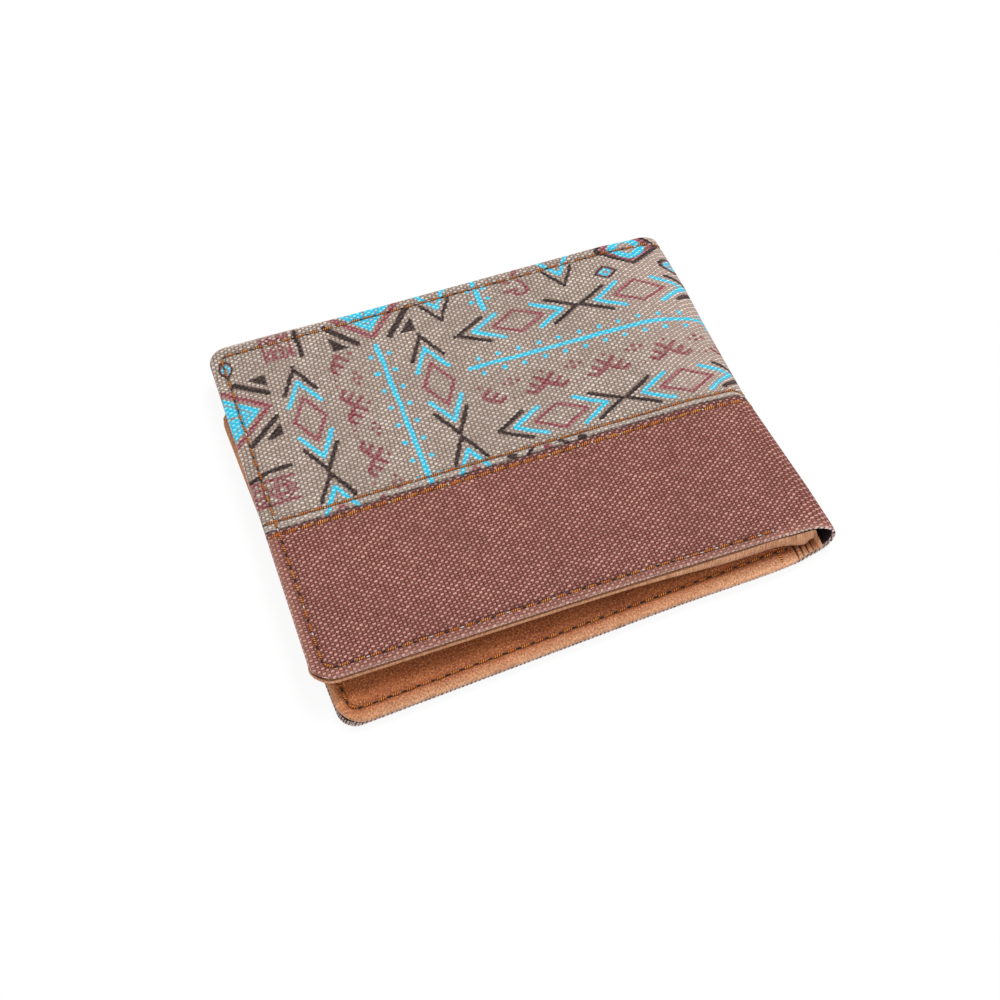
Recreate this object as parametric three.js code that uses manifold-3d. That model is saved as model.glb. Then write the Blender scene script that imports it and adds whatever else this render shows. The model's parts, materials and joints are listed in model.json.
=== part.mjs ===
// Bifold wallet, lying closed on its back leaf.
//
// Millimetres, +Z up. X runs from the free edges of the leaves towards the spine, Y from the bottom
// edge to the top edge, where the bill compartment opens. The origin is on the ground, under the
// middle of the closed wallet's box.
//
// The shell is one long sheet of canvas, print above and plain brown below a lengthwise seam, with a
// lining behind it. A bill divider and a leather panel run inside it from end to end, and each leaf
// carries a stepped stack of card pockets. The sheet is folded a little out of square, so the front
// leaf lies turned on the back leaf, and it has slipped along the fold.

import * as THREE from 'three';
import { mergeVertices } from 'three/addons/utils/BufferGeometryUtils.js';
import Module from 'manifold-3d';

const wasm = await Module();
wasm.setup();

const xAxis = new THREE.Vector3(1, 0, 0);
const yAxis = new THREE.Vector3(0, 1, 0);
const zAxis = new THREE.Vector3(0, 0, 1);

// Leaves
const leafHeight = 90;            // bottom edge to top edge
const backLeafLength = 110.7;     // free edge to the outside of the spine, at half height
const frontLeafLength = 111.3;    // the same on the front leaf, which is cut a little longer
const cornerRadius = 4;           // both corners of each free edge
const arcSteps = 4;               // facets in each rounded corner

// Cloth and leather, from the outside of a leaf to its inside
const canvasThickness = 0.6;
const liningThickness = 0.3;
const dividerThickness = 0.3;
const panelThickness = 0.7;
const pocketThickness = 0.3;      // leather thinned for card pockets
const layerGap = 0.05;            // air between two layers
const leafGap = 0.1;              // air between the closed leaves
const liningInset = 0.6;          // how far the inner cloths stop short of the shell's edge
const panelInset = 0.2;           // how far the leather panel stops short of the shell's edge

// Lengthwise band of plain canvas along the bottom
const bandHeight = 38;            // bottom edge to the seam
const seamGap = 0.1;              // between the two canvases where they meet

// Card pockets
const pocketCount = 4;
const pocketDrop = 8;             // top edge to the mouth of the highest pocket
const pocketPitch = 9;            // step from one mouth to the next
const pocketInset = 0.5;          // from the leaf's free and bottom edges
const pocketSpineMargin = 12.5;   // from the outside of the spine to the pockets' ends
const rampLength = 0.8;           // in which a pocket climbs over the bottom of the one behind it
const rampClearance = 0.2;        // from the top of that climb to the bottom it climbs over

// Sewing
const threadWidth = 0.6;
const threadThickness = 0.2;
const threadSink = 0.05;          // how far the thread lies below the face of the canvas
const channelPlay = 0.1;          // between the thread and each side of the channel it pulls in
const edgeRowFromFree = 2.8;      // edge row, middle of the thread to the free edge
const edgeRowFromBottom = 3;
const edgeRowFromTop = 2.4;
const edgeRowSpineMargin = 14.5;  // the bottom stretch ends this far from the outside of the spine
const printRowFromSeam = 2.5;     // topstitching on the print, above the seam
const brownRowFromSeam = 0.8;     // topstitching on the brown canvas, below the seam
const rowClearance = 0.5;         // between the edge row and the seam rows that run up to it

// Fold
const foldSkew = THREE.MathUtils.degToRad(1.3);  // the fold line leans this far from square
const foldSlip = 2.7;             // how far the front leaf has slipped along the fold line
const hingeGap = 0.3;             // between a leaf's layers and the spine's
const halfGap = 0.1;              // between the back half and the front half of the spine
const spineArcSteps = 6;          // facets in a quarter turn of the spine

// Layers: how deep each lies below the outside of the shell
const liningDepth = canvasThickness + layerGap;
const dividerDepth = liningDepth + liningThickness + layerGap;
const panelDepth = dividerDepth + dividerThickness + layerGap;
const firstPocketDepth = panelDepth + panelThickness + layerGap;
const leafThickness = firstPocketDepth + pocketCount * (pocketThickness + layerGap) - layerGap;
const closedThickness = 2 * leafThickness + leafGap;
const lastMouth = leafHeight - pocketDrop - (pocketCount - 1) * pocketPitch;
const pocketDepth = lastMouth - pocketInset;     // mouth to bottom seam, the same on every pocket
const spineRadius = closedThickness / 2;
const channelDepth = threadSink + threadThickness + layerGap;
const channelWidth = threadWidth + 2 * channelPlay;

const finishes = {
  print: { color: 0xa59182, roughness: 0.85, metalness: 0 },
  brown: { color: 0x7d4b44, roughness: 0.85, metalness: 0 },
  lining: { color: 0x1f1b1a, roughness: 0.7, metalness: 0 },
  leather: { color: 0xb07c4e, roughness: 0.6, metalness: 0 },
  thread: { color: 0xb45a1e, roughness: 0.6, metalness: 0 },
};

function piece(name, geometry, finish) {
  const mesh = new THREE.Mesh(geometry, new THREE.MeshStandardMaterial(finishes[finish]));
  mesh.name = name;
  return mesh;
}

function toSolid(geometry) {
  const bare = geometry.clone();
  bare.deleteAttribute('normal');
  bare.deleteAttribute('uv');
  const merged = mergeVertices(bare, 1e-5);
  return new wasm.Manifold(new wasm.Mesh({
    numProp: 3,
    vertProperties: merged.attributes.position.array,
    triVerts: new Uint32Array(merged.index.array),
  }));
}

function toGeometry(solid) {
  const mesh = solid.getMesh();
  const geometry = new THREE.BufferGeometry();
  geometry.setAttribute('position', new THREE.BufferAttribute(mesh.vertProperties, 3));
  geometry.setIndex(new THREE.BufferAttribute(mesh.triVerts, 1));
  geometry.computeVertexNormals();
  return geometry;
}

function cut(geometry, tools) {
  let solid = toSolid(geometry);
  for (const tool of tools) solid = solid.subtract(toSolid(tool));
  return toGeometry(solid);
}

function common(geometry, other) {
  return toGeometry(toSolid(geometry).intersect(toSolid(other)));
}

// A leaf is drawn in its own frame: free edge at x = 0, bottom edge at y = 0. lean is the slope of
// its spine edge, and outside says which way its outer face looks.
const backLeaf = { name: 'back', length: backLeafLength, lean: Math.tan(foldSkew), outside: -1 };
const frontLeaf = { name: 'front', length: frontLeafLength, lean: -Math.tan(foldSkew), outside: 1 };

// x of the line that runs along the fold, a given distance in from the outside of the spine
function foldLineX(leaf, distance, y) {
  return leaf.length - distance / Math.cos(foldSkew) + leaf.lean * (y - leafHeight / 2);
}

// Height of a point that lies a given depth below the leaf's outer face
function heightAt(leaf, depth) {
  return leaf.outside < 0 ? depth : closedThickness - depth;
}

// Raises a flat shape into a layer that starts at a depth below the leaf's outer face.
function layer(leaf, shape, depth, thickness) {
  const base = Math.min(heightAt(leaf, depth), heightAt(leaf, depth + thickness));
  const geometry = new THREE.ExtrudeGeometry(shape, {
    depth: thickness, bevelEnabled: false, curveSegments: arcSteps,
  });
  return geometry.translate(0, 0, base);
}

// Outline of a flat layer: straight along the fold, with the leaf's round corners where it
// reaches them.
function panelShape(leaf, { free, bottom, top, spine, roundBottom = true, roundTop = true }) {
  const radius = cornerRadius - Math.max(free, 0);
  const shape = new THREE.Shape();
  shape.moveTo(foldLineX(leaf, spine, bottom), bottom);
  shape.lineTo(foldLineX(leaf, spine, top), top);
  if (roundTop) {
    shape.lineTo(free + radius, top);
    shape.absarc(free + radius, top - radius, radius, Math.PI / 2, Math.PI, false);
  } else {
    shape.lineTo(free, top);
  }
  if (roundBottom) {
    shape.lineTo(free, bottom + radius);
    shape.absarc(free + radius, bottom + radius, radius, Math.PI, 1.5 * Math.PI, false);
  } else {
    shape.lineTo(free, bottom);
  }
  shape.closePath();
  return shape;
}

// The edge row is a band of even width: along the bottom, round both free corners, along the top.
function edgeRowShape(leaf, width) {
  const side = (offset) => ({
    free: edgeRowFromFree + offset,
    bottom: edgeRowFromBottom + offset,
    top: leafHeight - edgeRowFromTop - offset,
    radius: cornerRadius - edgeRowFromFree - offset,
  });
  const outer = side(-width / 2);
  const inner = side(width / 2);
  const bottomEnd = (y) => foldLineX(leaf, edgeRowSpineMargin, y);
  const topEnd = (y) => foldLineX(leaf, spineRadius + hingeGap, y);
  const { free, bottom, top, radius } = outer;
  const shape = new THREE.Shape();
  shape.moveTo(bottomEnd(inner.bottom), inner.bottom);
  shape.lineTo(inner.free, inner.bottom);
  shape.lineTo(inner.free, inner.top);
  shape.lineTo(topEnd(inner.top), inner.top);
  shape.lineTo(topEnd(top), top);
  shape.lineTo(free + radius, top);
  shape.absarc(free + radius, top - radius, radius, Math.PI / 2, Math.PI, false);
  shape.lineTo(free, bottom + radius);
  shape.absarc(free + radius, bottom + radius, radius, Math.PI, 1.5 * Math.PI, false);
  shape.lineTo(bottomEnd(bottom), bottom);
  shape.closePath();
  return shape;
}

// A seam row is a straight band from just inside the edge row to the spine.
function seamRowShape(leaf, y, width) {
  const start = edgeRowFromFree + threadWidth / 2 + rowClearance;
  const shape = new THREE.Shape();
  shape.moveTo(start, y - width / 2);
  shape.lineTo(foldLineX(leaf, spineRadius + hingeGap, y - width / 2), y - width / 2);
  shape.lineTo(foldLineX(leaf, spineRadius + hingeGap, y + width / 2), y + width / 2);
  shape.lineTo(start, y + width / 2);
  shape.closePath();
  return shape;
}

function threadRows(leaf) {
  return [
    { name: 'edge_thread', shape: (width) => edgeRowShape(leaf, width) },
    { name: 'print_seam_thread', shape: (width) => seamRowShape(leaf, bandHeight + printRowFromSeam, width) },
    { name: 'brown_seam_thread', shape: (width) => seamRowShape(leaf, bandHeight - brownRowFromSeam, width) },
  ];
}

// The channel reaches past the canvas's face, so that the cut is clean.
function channels(leaf) {
  const past = channelDepth;
  return threadRows(leaf).map((row) => layer(leaf, row.shape(channelWidth), -past, past + channelDepth));
}

function shellCanvases(leaf) {
  const spine = spineRadius + hingeGap;
  const brown = panelShape(leaf, {
    free: 0, bottom: 0, top: bandHeight - seamGap / 2, spine, roundTop: false,
  });
  const print = panelShape(leaf, {
    free: 0, bottom: bandHeight + seamGap / 2, top: leafHeight, spine, roundBottom: false,
  });
  const tools = channels(leaf);
  return [
    piece(`${leaf.name}_print_canvas`, cut(layer(leaf, print, 0, canvasThickness), tools), 'print'),
    piece(`${leaf.name}_brown_canvas`, cut(layer(leaf, brown, 0, canvasThickness), tools), 'brown'),
  ];
}

function threads(leaf) {
  return threadRows(leaf).map((row) => piece(
    `${leaf.name}_${row.name}`, layer(leaf, row.shape(threadWidth), threadSink, threadThickness), 'thread',
  ));
}

function innerLayers(leaf) {
  const spine = spineRadius + hingeGap;
  const sheet = (inset) => panelShape(leaf, { free: inset, bottom: inset, top: leafHeight - inset, spine });
  const lining = layer(leaf, sheet(liningInset), liningDepth, liningThickness);
  const divider = layer(leaf, sheet(liningInset), dividerDepth, dividerThickness);
  const panel = layer(leaf, sheet(panelInset), panelDepth, panelThickness);
  return [
    piece(`${leaf.name}_shell_lining`, lining, 'lining'),
    piece(`${leaf.name}_bill_divider`, divider, 'lining'),
    piece(`${leaf.name}_leather_panel`, panel, 'leather'),
  ];
}

function pocketMouth(index) {
  return leafHeight - pocketDrop - index * pocketPitch;
}

// Side view of a pocket, from its bottom seam to its mouth. Its bottom lies on the panel, and it
// climbs one layer wherever it passes the bottom of a pocket behind it.
function pocketProfile(leaf, index) {
  const climb = pocketThickness + layerGap;
  const bottom = pocketMouth(index) - pocketDepth;
  const path = [[bottom, 0]];
  for (let behind = index - 1; behind >= 0; behind -= 1) {
    const top = pocketMouth(behind) - pocketDepth - rampClearance;
    const level = index - 1 - behind;
    path.push([top - rampLength, level * climb], [top, (level + 1) * climb]);
  }
  path.push([pocketMouth(index), index * climb]);
  const side = (rise) => path.map(([y, level]) => new THREE.Vector2(
    y, heightAt(leaf, firstPocketDepth + level + rise),
  ));
  return new THREE.Shape([...side(0), ...side(pocketThickness).reverse()]);
}

// Pocket 1 lies against the panel and reaches highest; each next one lies on it, a step lower.
function cardPocket(leaf, index) {
  const outline = panelShape(leaf, {
    free: pocketInset,
    bottom: pocketMouth(index) - pocketDepth,
    top: pocketMouth(index),
    spine: pocketSpineMargin,
    roundTop: false,
    roundBottom: index === pocketCount - 1,
  });
  const profile = new THREE.ExtrudeGeometry(pocketProfile(leaf, index), {
    depth: leaf.length, bevelEnabled: false,
  });
  profile.applyMatrix4(new THREE.Matrix4().makeBasis(yAxis, zAxis, xAxis));
  const block = layer(leaf, outline, panelDepth, leafThickness);
  return piece(`${leaf.name}_card_pocket_${index + 1}`, common(profile, block), 'leather');
}

function buildLeaf(leaf) {
  const group = new THREE.Group();
  group.add(...shellCanvases(leaf), ...innerLayers(leaf), ...threads(leaf));
  for (let index = 0; index < pocketCount; index += 1) group.add(cardPocket(leaf, index));
  return group;
}

// One layer of half the spine: a quarter ring in x and z, drawn along the fold from y0 to y1. The
// spine's frame has its outside at x = 0 and the middle of the wallet's thickness at z = 0.
function quarterRing(half, depth, thickness, y0, y1) {
  const outer = spineRadius - depth;
  const inner = outer - thickness;
  const startAngle = -half.up * Math.PI / 2;
  const stop = (radius) => -half.up * Math.asin(halfGap / 2 / radius);
  const backwards = half.up < 0;
  const shape = new THREE.Shape();
  shape.absarc(-spineRadius, 0, outer, startAngle, stop(outer), backwards);
  shape.absarc(-spineRadius, 0, inner, stop(inner), startAngle, !backwards);
  shape.closePath();
  const geometry = new THREE.ExtrudeGeometry(shape, {
    depth: y1 - y0, bevelEnabled: false, curveSegments: spineArcSteps,
  });
  return geometry.rotateX(Math.PI / 2).translate(0, y1, 0);
}

function buildSpineHalf(half) {
  const bottom = -leafHeight / 2;
  const seam = bottom + bandHeight;
  const top = leafHeight / 2;
  const layers = [
    ['print_canvas', 'print', 0, canvasThickness, seam + seamGap / 2, top],
    ['brown_canvas', 'brown', 0, canvasThickness, bottom, seam - seamGap / 2],
    ['shell_lining', 'lining', liningDepth, liningThickness, bottom + liningInset, top - liningInset],
    ['bill_divider', 'lining', dividerDepth, dividerThickness, bottom + liningInset, top - liningInset],
    ['fold_leather', 'leather', panelDepth, panelThickness, bottom + panelInset, top - panelInset],
  ];
  const group = new THREE.Group();
  for (const [name, finish, depth, thickness, y0, y1] of layers) {
    group.add(piece(`${half.name}_${name}`, quarterRing(half, depth, thickness, y0, y1), finish));
  }
  return group;
}

const foldDirection = new THREE.Vector3(Math.sin(foldSkew), Math.cos(foldSkew), 0);
const foldMiddle = new THREE.Vector3(backLeafLength, leafHeight / 2, 0);

// Puts a group's own point at a place in the wallet, turned about Z.
function place(group, ownPoint, target, turn) {
  group.rotation.z = turn;
  group.position.copy(target).sub(ownPoint.clone().applyAxisAngle(zAxis, turn));
  return group;
}

function buildWallet() {
  const slipped = foldMiddle.clone().addScaledVector(foldDirection, foldSlip);
  const frontMiddle = new THREE.Vector3(frontLeafLength, leafHeight / 2, 0);
  const spineMiddle = new THREE.Vector3(0, 0, -spineRadius);
  const wallet = new THREE.Group();
  wallet.add(
    buildLeaf(backLeaf),
    place(buildSpineHalf({ name: 'spine_back', up: 1 }), spineMiddle, foldMiddle, -foldSkew),
    place(buildSpineHalf({ name: 'spine_front', up: -1 }), spineMiddle, slipped, -foldSkew),
    place(buildLeaf(frontLeaf), frontMiddle, slipped, -2 * foldSkew),
  );
  return wallet;
}

// The closed wallet stands centred over the origin.
function centreOverOrigin(wallet) {
  wallet.updateMatrixWorld(true);
  const box = new THREE.Box3().setFromObject(wallet, true);
  const middle = box.getCenter(new THREE.Vector3());
  wallet.position.set(-middle.x, -middle.y, -box.min.z);
  return wallet;
}

export default centreOverOrigin(buildWallet());
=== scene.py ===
# %% [markdown]
# # A bifold wallet in canvas and leather
# The wallet lies closed on its back leaf. Its shell is one long strip of canvas, a printed piece
# above a plain brown one, folded in the middle; inside it are a lining, a bill divider, a leather
# panel and two stepped stacks of card pockets. This lesson dresses the wallet's plain solids:
# every piece is a surface worked out with numpy, and every finish is built from nodes.

# %% Load the frame
import json

import bpy
import numpy as np
from mathutils import Matrix, Vector


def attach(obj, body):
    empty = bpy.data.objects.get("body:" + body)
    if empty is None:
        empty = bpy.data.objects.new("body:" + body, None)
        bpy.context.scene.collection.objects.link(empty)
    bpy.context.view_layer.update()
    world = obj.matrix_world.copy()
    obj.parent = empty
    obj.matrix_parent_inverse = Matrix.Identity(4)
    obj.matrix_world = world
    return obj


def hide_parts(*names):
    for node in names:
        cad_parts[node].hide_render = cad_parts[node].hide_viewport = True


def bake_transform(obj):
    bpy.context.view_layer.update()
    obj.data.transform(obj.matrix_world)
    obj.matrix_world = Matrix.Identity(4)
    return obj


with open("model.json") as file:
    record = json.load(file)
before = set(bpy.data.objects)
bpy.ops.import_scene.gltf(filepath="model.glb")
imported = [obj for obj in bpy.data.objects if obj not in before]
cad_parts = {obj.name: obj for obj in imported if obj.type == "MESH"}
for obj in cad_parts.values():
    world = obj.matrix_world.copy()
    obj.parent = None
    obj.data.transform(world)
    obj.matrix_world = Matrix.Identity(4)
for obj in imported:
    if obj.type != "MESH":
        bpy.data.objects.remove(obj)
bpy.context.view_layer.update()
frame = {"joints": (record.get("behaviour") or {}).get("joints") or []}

# %% [markdown]
# ## The folded sheet
# Everything in the wallet is a sheet that lies flat in the back leaf, turns round the spine and
# lies flat again in the front leaf. It could be modelled flat and bent by modifiers, but then
# stitches, print and edges would each need the same bend. Instead one function says where any
# point of any sheet goes. A point is named in a leaf's own measure: x from the free edge, t up
# from the bottom edge, and its depth below the leaf's outer face, all in millimetres.
# The side is -1 in the back leaf and +1 in the front leaf.

# %% Measures of the leaves and the fold
LEAF_HEIGHT, SEAM = 90.0, 38.0                # bottom edge to top edge, and to the canvases' seam
CORNER = 4.0                                  # radius of the free corners
BACK, FRONT = -1.0, 1.0
leaf_names = {BACK: "back", FRONT: "front"}
lengths = {BACK: 110.7, FRONT: 111.3}         # free edge to the outside of the spine
skew = np.radians(1.3)                        # the fold leans this far from square
COS, SIN, TAN = np.cos(skew), np.sin(skew), np.tan(skew)
joints = {j["name"]: j for j in frame["joints"]}
TOTAL = joints["front_fold"]["pos_m"][2] * 1000       # thickness of the closed wallet
RADIUS = TOTAL / 2                                    # outside radius of the spine
SLIP = joints["spine_slip"]["range_m"][1] * 1000      # of the front leaf along the fold
HINGE_INSET = 1.505                                   # hinge line to the outside of the spine
along_fold = np.array(joints["back_fold"]["axis"][:2])
outwards = np.array([along_fold[1], -along_fold[0]])
fold_middle = np.array(joints["back_fold"]["pos_m"][:2]) * 1000 + HINGE_INSET * outwards
print(f"closed {TOTAL} mm thick, slipped {SLIP:.2f} mm, fold at {fold_middle.round(3)} mm")


# %% Where a point of a sheet goes
def ease(value, low, high):
    """0 below low, 1 above high, and 3s^2 - 2s^3 between, with s the share of the way."""
    s = np.clip((value - low) / (high - low), 0, 1)
    return s * s * (3 - 2 * s)


def fade(value, low, high):
    return 1 - ease(value, low, high)


def bell(distance, width):
    """exp(-(distance / width)^2): 1 on the line, and near 0 two widths away."""
    return np.exp(-(distance / width) ** 2)


def length_of(side):
    return np.where(side < 0, lengths[BACK], lengths[FRONT])


def outside(side, t):
    """x of the spine's outside, straight across the leaf; it leans with the fold."""
    return length_of(side) - side * TAN * (t - LEAF_HEIGHT / 2)


def flat_end(side, t):
    """x at which a leaf stops being flat, one radius of the spine before its outside."""
    return outside(side, t) - RADIUS / COS


def x_of_turn(side, t, turn):
    """x of the points that have turned by an angle round the spine, 90 degrees at its outside."""
    return flat_end(side, t) + RADIUS * np.radians(turn) / COS


DROOP = {BACK: (0.25, -7.5), FRONT: (0.8, -13.5)}   # depth, and where it starts, before the spine
FLARE = ([0, 12, 27, 40, 52, 63, 74, 90],     # heights, and how far the canvas stands out there
         [2.2, 1.9, 1.05, 0.35, 0.75, 1.2, 1.85, 1.9])
SHELL_SLIP = (2.55, 4.45)     # heights between which the shell's layers slip along the fold
SHEAR = (-80, 80)             # angles round the spine between which they lie sheared when closed
SEAM_PULL = 1.3               # how far the seam is pulled down round the spine
LEATHER_SLIP = (2.25, 3.0)    # heights between which the leather slips
LEATHER_PULL = 0.3            # how far the leather stays back from the outside of its turn
LEATHER_LAG = 1.2             # how much less its inner face slips than the canvas, in front
LEATHER_SAG = 1.3             # how far its fold hangs down at the bottom end
LEATHER_NEAR = -12            # n from which it lags and sags


def folded(side, x, t, depth, leather=False):
    """Sheet to wallet, in millimetres. A flat leaf leans by the skew: n = dx cos + side up sin and
    m = up cos - side dx sin. Past the flat end a point turns by phi = distance / radius: n grows
    by rho sin(phi) + flare sin(phi)^2, with rho = radius - depth, and z = middle + side rho
    cos(phi). At the bottom end the leather's fold sags by 6.75 s^2 (1 - s), s its share of z."""
    side, x, t, depth = np.broadcast_arrays(*(np.asarray(a, float) for a in (side, x, t, depth)))
    up = t - LEAF_HEIGHT / 2
    end = flat_end(side, t)
    phi = np.clip((x - end) * COS / RADIUS, 0, np.pi / 2)
    dx = np.minimum(x, end) - length_of(side)
    flare = -LEATHER_PULL if leather else np.interp(t, *FLARE)
    n = dx * COS + side * up * SIN + (RADIUS - depth) * np.sin(phi) + flare * np.sin(phi) ** 2
    m = up * COS - side * dx * SIN - side * RADIUS * TAN * phi / (np.pi / 2)
    droop = np.where(side < 0, *(d * ease(n, start, -RADIUS) for d, start in DROOP.values()))
    z = TOTAL / 2 + side * (RADIUS - depth - droop * np.cos(phi)) * np.cos(phi)
    if leather:
        near = ease(n, LEATHER_NEAR, -RADIUS)
        lag = LEATHER_LAG * ease(depth, 0.9, 2.6) * np.where(side > 0, np.cos(phi), 0)
        share = np.clip((z - 1.35) / (TOTAL - 3.4), 0, 1)
        z = z - LEATHER_SAG * 6.75 * share ** 2 * (1 - share) * near * fade(t, 1, 9)
        m = m - lag * near * fade(t, 4, 45)
        slipped = ease(z, *LEATHER_SLIP)
    else:
        m = m - SEAM_PULL * bell(t - SEAM, 13) * ease(n, -4.5, RADIUS - depth)
        slipped = ease(side * (90 - np.degrees(phi)), *SHEAR)
    m = m + SLIP * np.where(phi > 0, slipped, side > 0)
    plan = fold_middle + n[..., None] * outwards + m[..., None] * along_fold
    return np.concatenate([plan, z[..., None]], -1)


def fold_spot(n, z):
    """A point of the row frame, in metres, beside the middle of the fold: n outwards, z up."""
    return tuple(np.append(fold_middle + n * outwards, z) / 1000)


print("corner of the front leaf at", folded(FRONT, 0, 0, 0).round(2))

# %% [markdown]
# ## Cloth coordinates
# The print and the weave must follow the cloth round the spine and when the wallet opens, so each
# vertex carries the place where it lay on the cloth before folding. Along the strip that is the
# distance from the front leaf's free edge, out over the spine and back along the back leaf. Near
# the spine the upper part of the cloth was pulled towards the bottom edge as it was folded.

# %% Where a point lay on the cloth
DRAG, DRAG_REACH = 4.6, 16.3      # millimetres at the spine, and how far from it the pull starts
CROWD, CROWD_REACH = 1.5, 8.0     # and the same along the strip
DRAG_SHARE = ([0, 38, 46, 52, 63, 72, 90], [0, 0, 0.1, 0.45, 0.85, 0.5, 0.45])     # over the height


def cloth_place(side, x, t):
    """(along the strip, up it): x on the front leaf, both lengths - x on the back leaf; the height
    grows by drag (1 - distance / reach)^2 next to the spine."""
    ends = {s: x_of_turn(s, t, 90) for s in (BACK, FRONT)}
    along = np.where(side > 0, x, ends[FRONT] + ends[BACK] - x)
    near = np.where(side > 0, ends[FRONT], ends[BACK]) - x
    up = t + DRAG * np.interp(t, *DRAG_SHARE) * np.clip(1 - near / DRAG_REACH, 0, 1) ** 2
    crowded = CROWD * ease(t, 38, 46) * np.clip(1 - near / CROWD_REACH, 0, 1) ** 2
    return along + crowded, up

# %% [markdown]
# ## Sewing rows
# A row of lockstitch is a path with needle holes at an even pitch. The rows come before the cloth,
# because each one pulls a channel into it and each hole a pit. A path is a polyline in a leaf's
# own measure: the edge rows run round three sides with rounded corners, the seam rows are straight.

# %% Paths and needle holes
def inside(x, t, free=0.0, bottom=0.0, top=LEAF_HEIGHT, radius=CORNER):
    """How far a point lies inside an outline that is open towards the spine: the least distance to
    its sides, and radius - distance to the corner's centre within a round corner."""
    a, b = x - free, np.minimum(t - bottom, top - t)
    corner = radius - np.hypot(np.minimum(a - radius, 0), np.minimum(b - radius, 0))
    return np.where((a < radius) & (b < radius), corner, np.minimum(a, b))


OPEN_TOP = LEAF_HEIGHT + 10       # as an outline's top, it leaves the outline open there too


def three_sides(start, free, bottom, top, end, radii, fall):
    """Path from start along the bottom, round the free side and back along the top. radii gives
    the low and the high corner's radius, fall the places and heights by which the bottom changes."""
    turn = np.radians(np.linspace(0, 90, 6))
    a, b = radii
    low = np.c_[free + a - a * np.sin(turn), bottom + fall[1][0] + a - a * np.cos(turn)]
    high = np.c_[free + b - b * np.cos(turn), top - b + b * np.sin(turn)]
    points = [(x, bottom + np.interp(x, *fall)) for x in (start, *fall[0][:0:-1]) if x > free + a]
    return np.vstack([*points, low, high, (end, top)])


class Row:
    """A sewn row: n stitches between n + 1 needle holes, evenly spaced along a path."""

    def __init__(self, side, path, pitch):
        self.side, self.path = side, np.asarray(path, float)
        self.marks = np.r_[0, np.cumsum(np.hypot(*np.diff(self.path, axis=0).T))]
        self.count = int(round(self.marks[-1] / pitch))
        self.pitch = self.marks[-1] / self.count
        self.holes = self.at(np.arange(self.count + 1) * self.pitch)

    def at(self, distance):
        """Point of the path at a distance along it, by interpolation."""
        return np.stack([np.interp(distance, self.marks, c) for c in self.path.T], -1)


CANVAS_PITCH, LEATHER_PITCH = 3.3, 3.1                # from one needle hole to the next
STRAIGHT = ((0,), (0,))
ROW_FALL = {BACK: STRAIGHT, FRONT: ([52, 75, 95], [0.1, -0.4, -0.95])}     # of the bottom row
ROW_CORNER, TOP_CORNER, PANEL_ROW_CORNER = 2.6, 1.4, 2.2                   # radii of the rows' corners
FREE_ROW, BOTTOM_ROW, TOP_ROW = 2.8, 3.0, 2.4         # edge row's insets
PRINT_ROW, BROWN_ROW = 40.3, 36.9                     # heights of the rows beside the seam
ROW_START, ROW_DROP = 0.4, 0.0055                     # where they start, and how they run down
PANEL_ROW = 2.6                                       # the inside row's inset
ROW_STOP, PANEL_STOP, ROW_FADE = 10.4, 9.7, 1.5       # their ends before the spine, fading out
rows = {}
for side, name in leaf_names.items():
    high, inner = LEAF_HEIGHT - TOP_ROW, lengths[side] - PANEL_STOP
    rows[name, "edge"] = Row(side, three_sides(
        lengths[side] - ROW_STOP, FREE_ROW, BOTTOM_ROW, high, x_of_turn(side, high, 90),
        (ROW_CORNER, TOP_CORNER), ROW_FALL[side]), CANVAS_PITCH)
    for seam, t in (("print_seam", PRINT_ROW), ("brown_seam", BROWN_ROW)):
        end = x_of_turn(side, t, 90)
        rows[name, seam] = Row(side, [(ROW_START, t), (end, t - ROW_DROP * end)], CANVAS_PITCH)
    rows[name, "panel"] = Row(side, three_sides(
        inner, PANEL_ROW, PANEL_ROW, LEAF_HEIGHT - PANEL_ROW, inner,
        (PANEL_ROW_CORNER, PANEL_ROW_CORNER), STRAIGHT), LEATHER_PITCH)
print({key: row.count for key, row in rows.items()}, "stitches")

# %% [markdown]
# ## The relief of the faces
# Cloth and leather are never flat where they are sewn. Towards its edges a leaf is pressed thin, so
# its faces roll over; along each row they sink into a channel that is deepest at the holes, and
# between the holes they pucker. All of it is added to a point's depth.

# %% Depth of the relief
ROLL, ROLL_WIDTH = 0.42, 1.9              # depth and width of the canvas's rolled edge
CHANNEL, CHANNEL_WIDTH = 0.26, 0.6        # of the sunk line along a row
SHELL_PIT, LEATHER_PIT = (0.16, 0.55), (0.15, 0.6)        # depth and width of a hole's pit
PRESSED = 2.3                             # a leaf is pressed thin this close to its edges
PRESSED_TO = ([0.6, 1.33, 2.05, 3.6], [0.78, 0.9, 1.95, 2.4])     # depths, and what they shrink to
SLOT_OPENING = 0.8                        # how far divider and leather stand off at the top edge


def nearest(x, t, points):
    """Distance to the nearest of some points, for a whole grid at once."""
    least = np.full(np.shape(x), np.inf)
    for px, pt in points:
        least = np.minimum(least, np.hypot(x - px, t - pt))
    return least


def waves(x, t, seed, size):
    """Smooth unevenness from -1 to 1: a sum of sine waves of about one size, in all directions."""
    rng, count = np.random.default_rng(seed), 7
    angle, phase = rng.uniform(0, 2 * np.pi, (2, count))
    pace = 2 * np.pi / (size * rng.uniform(0.7, 1.5, count))
    return sum(np.sin(p * (x * np.cos(a) + t * np.sin(a)) + q)
               for p, a, q in zip(pace, angle, phase)) / count ** 0.5 / 1.5


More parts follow.
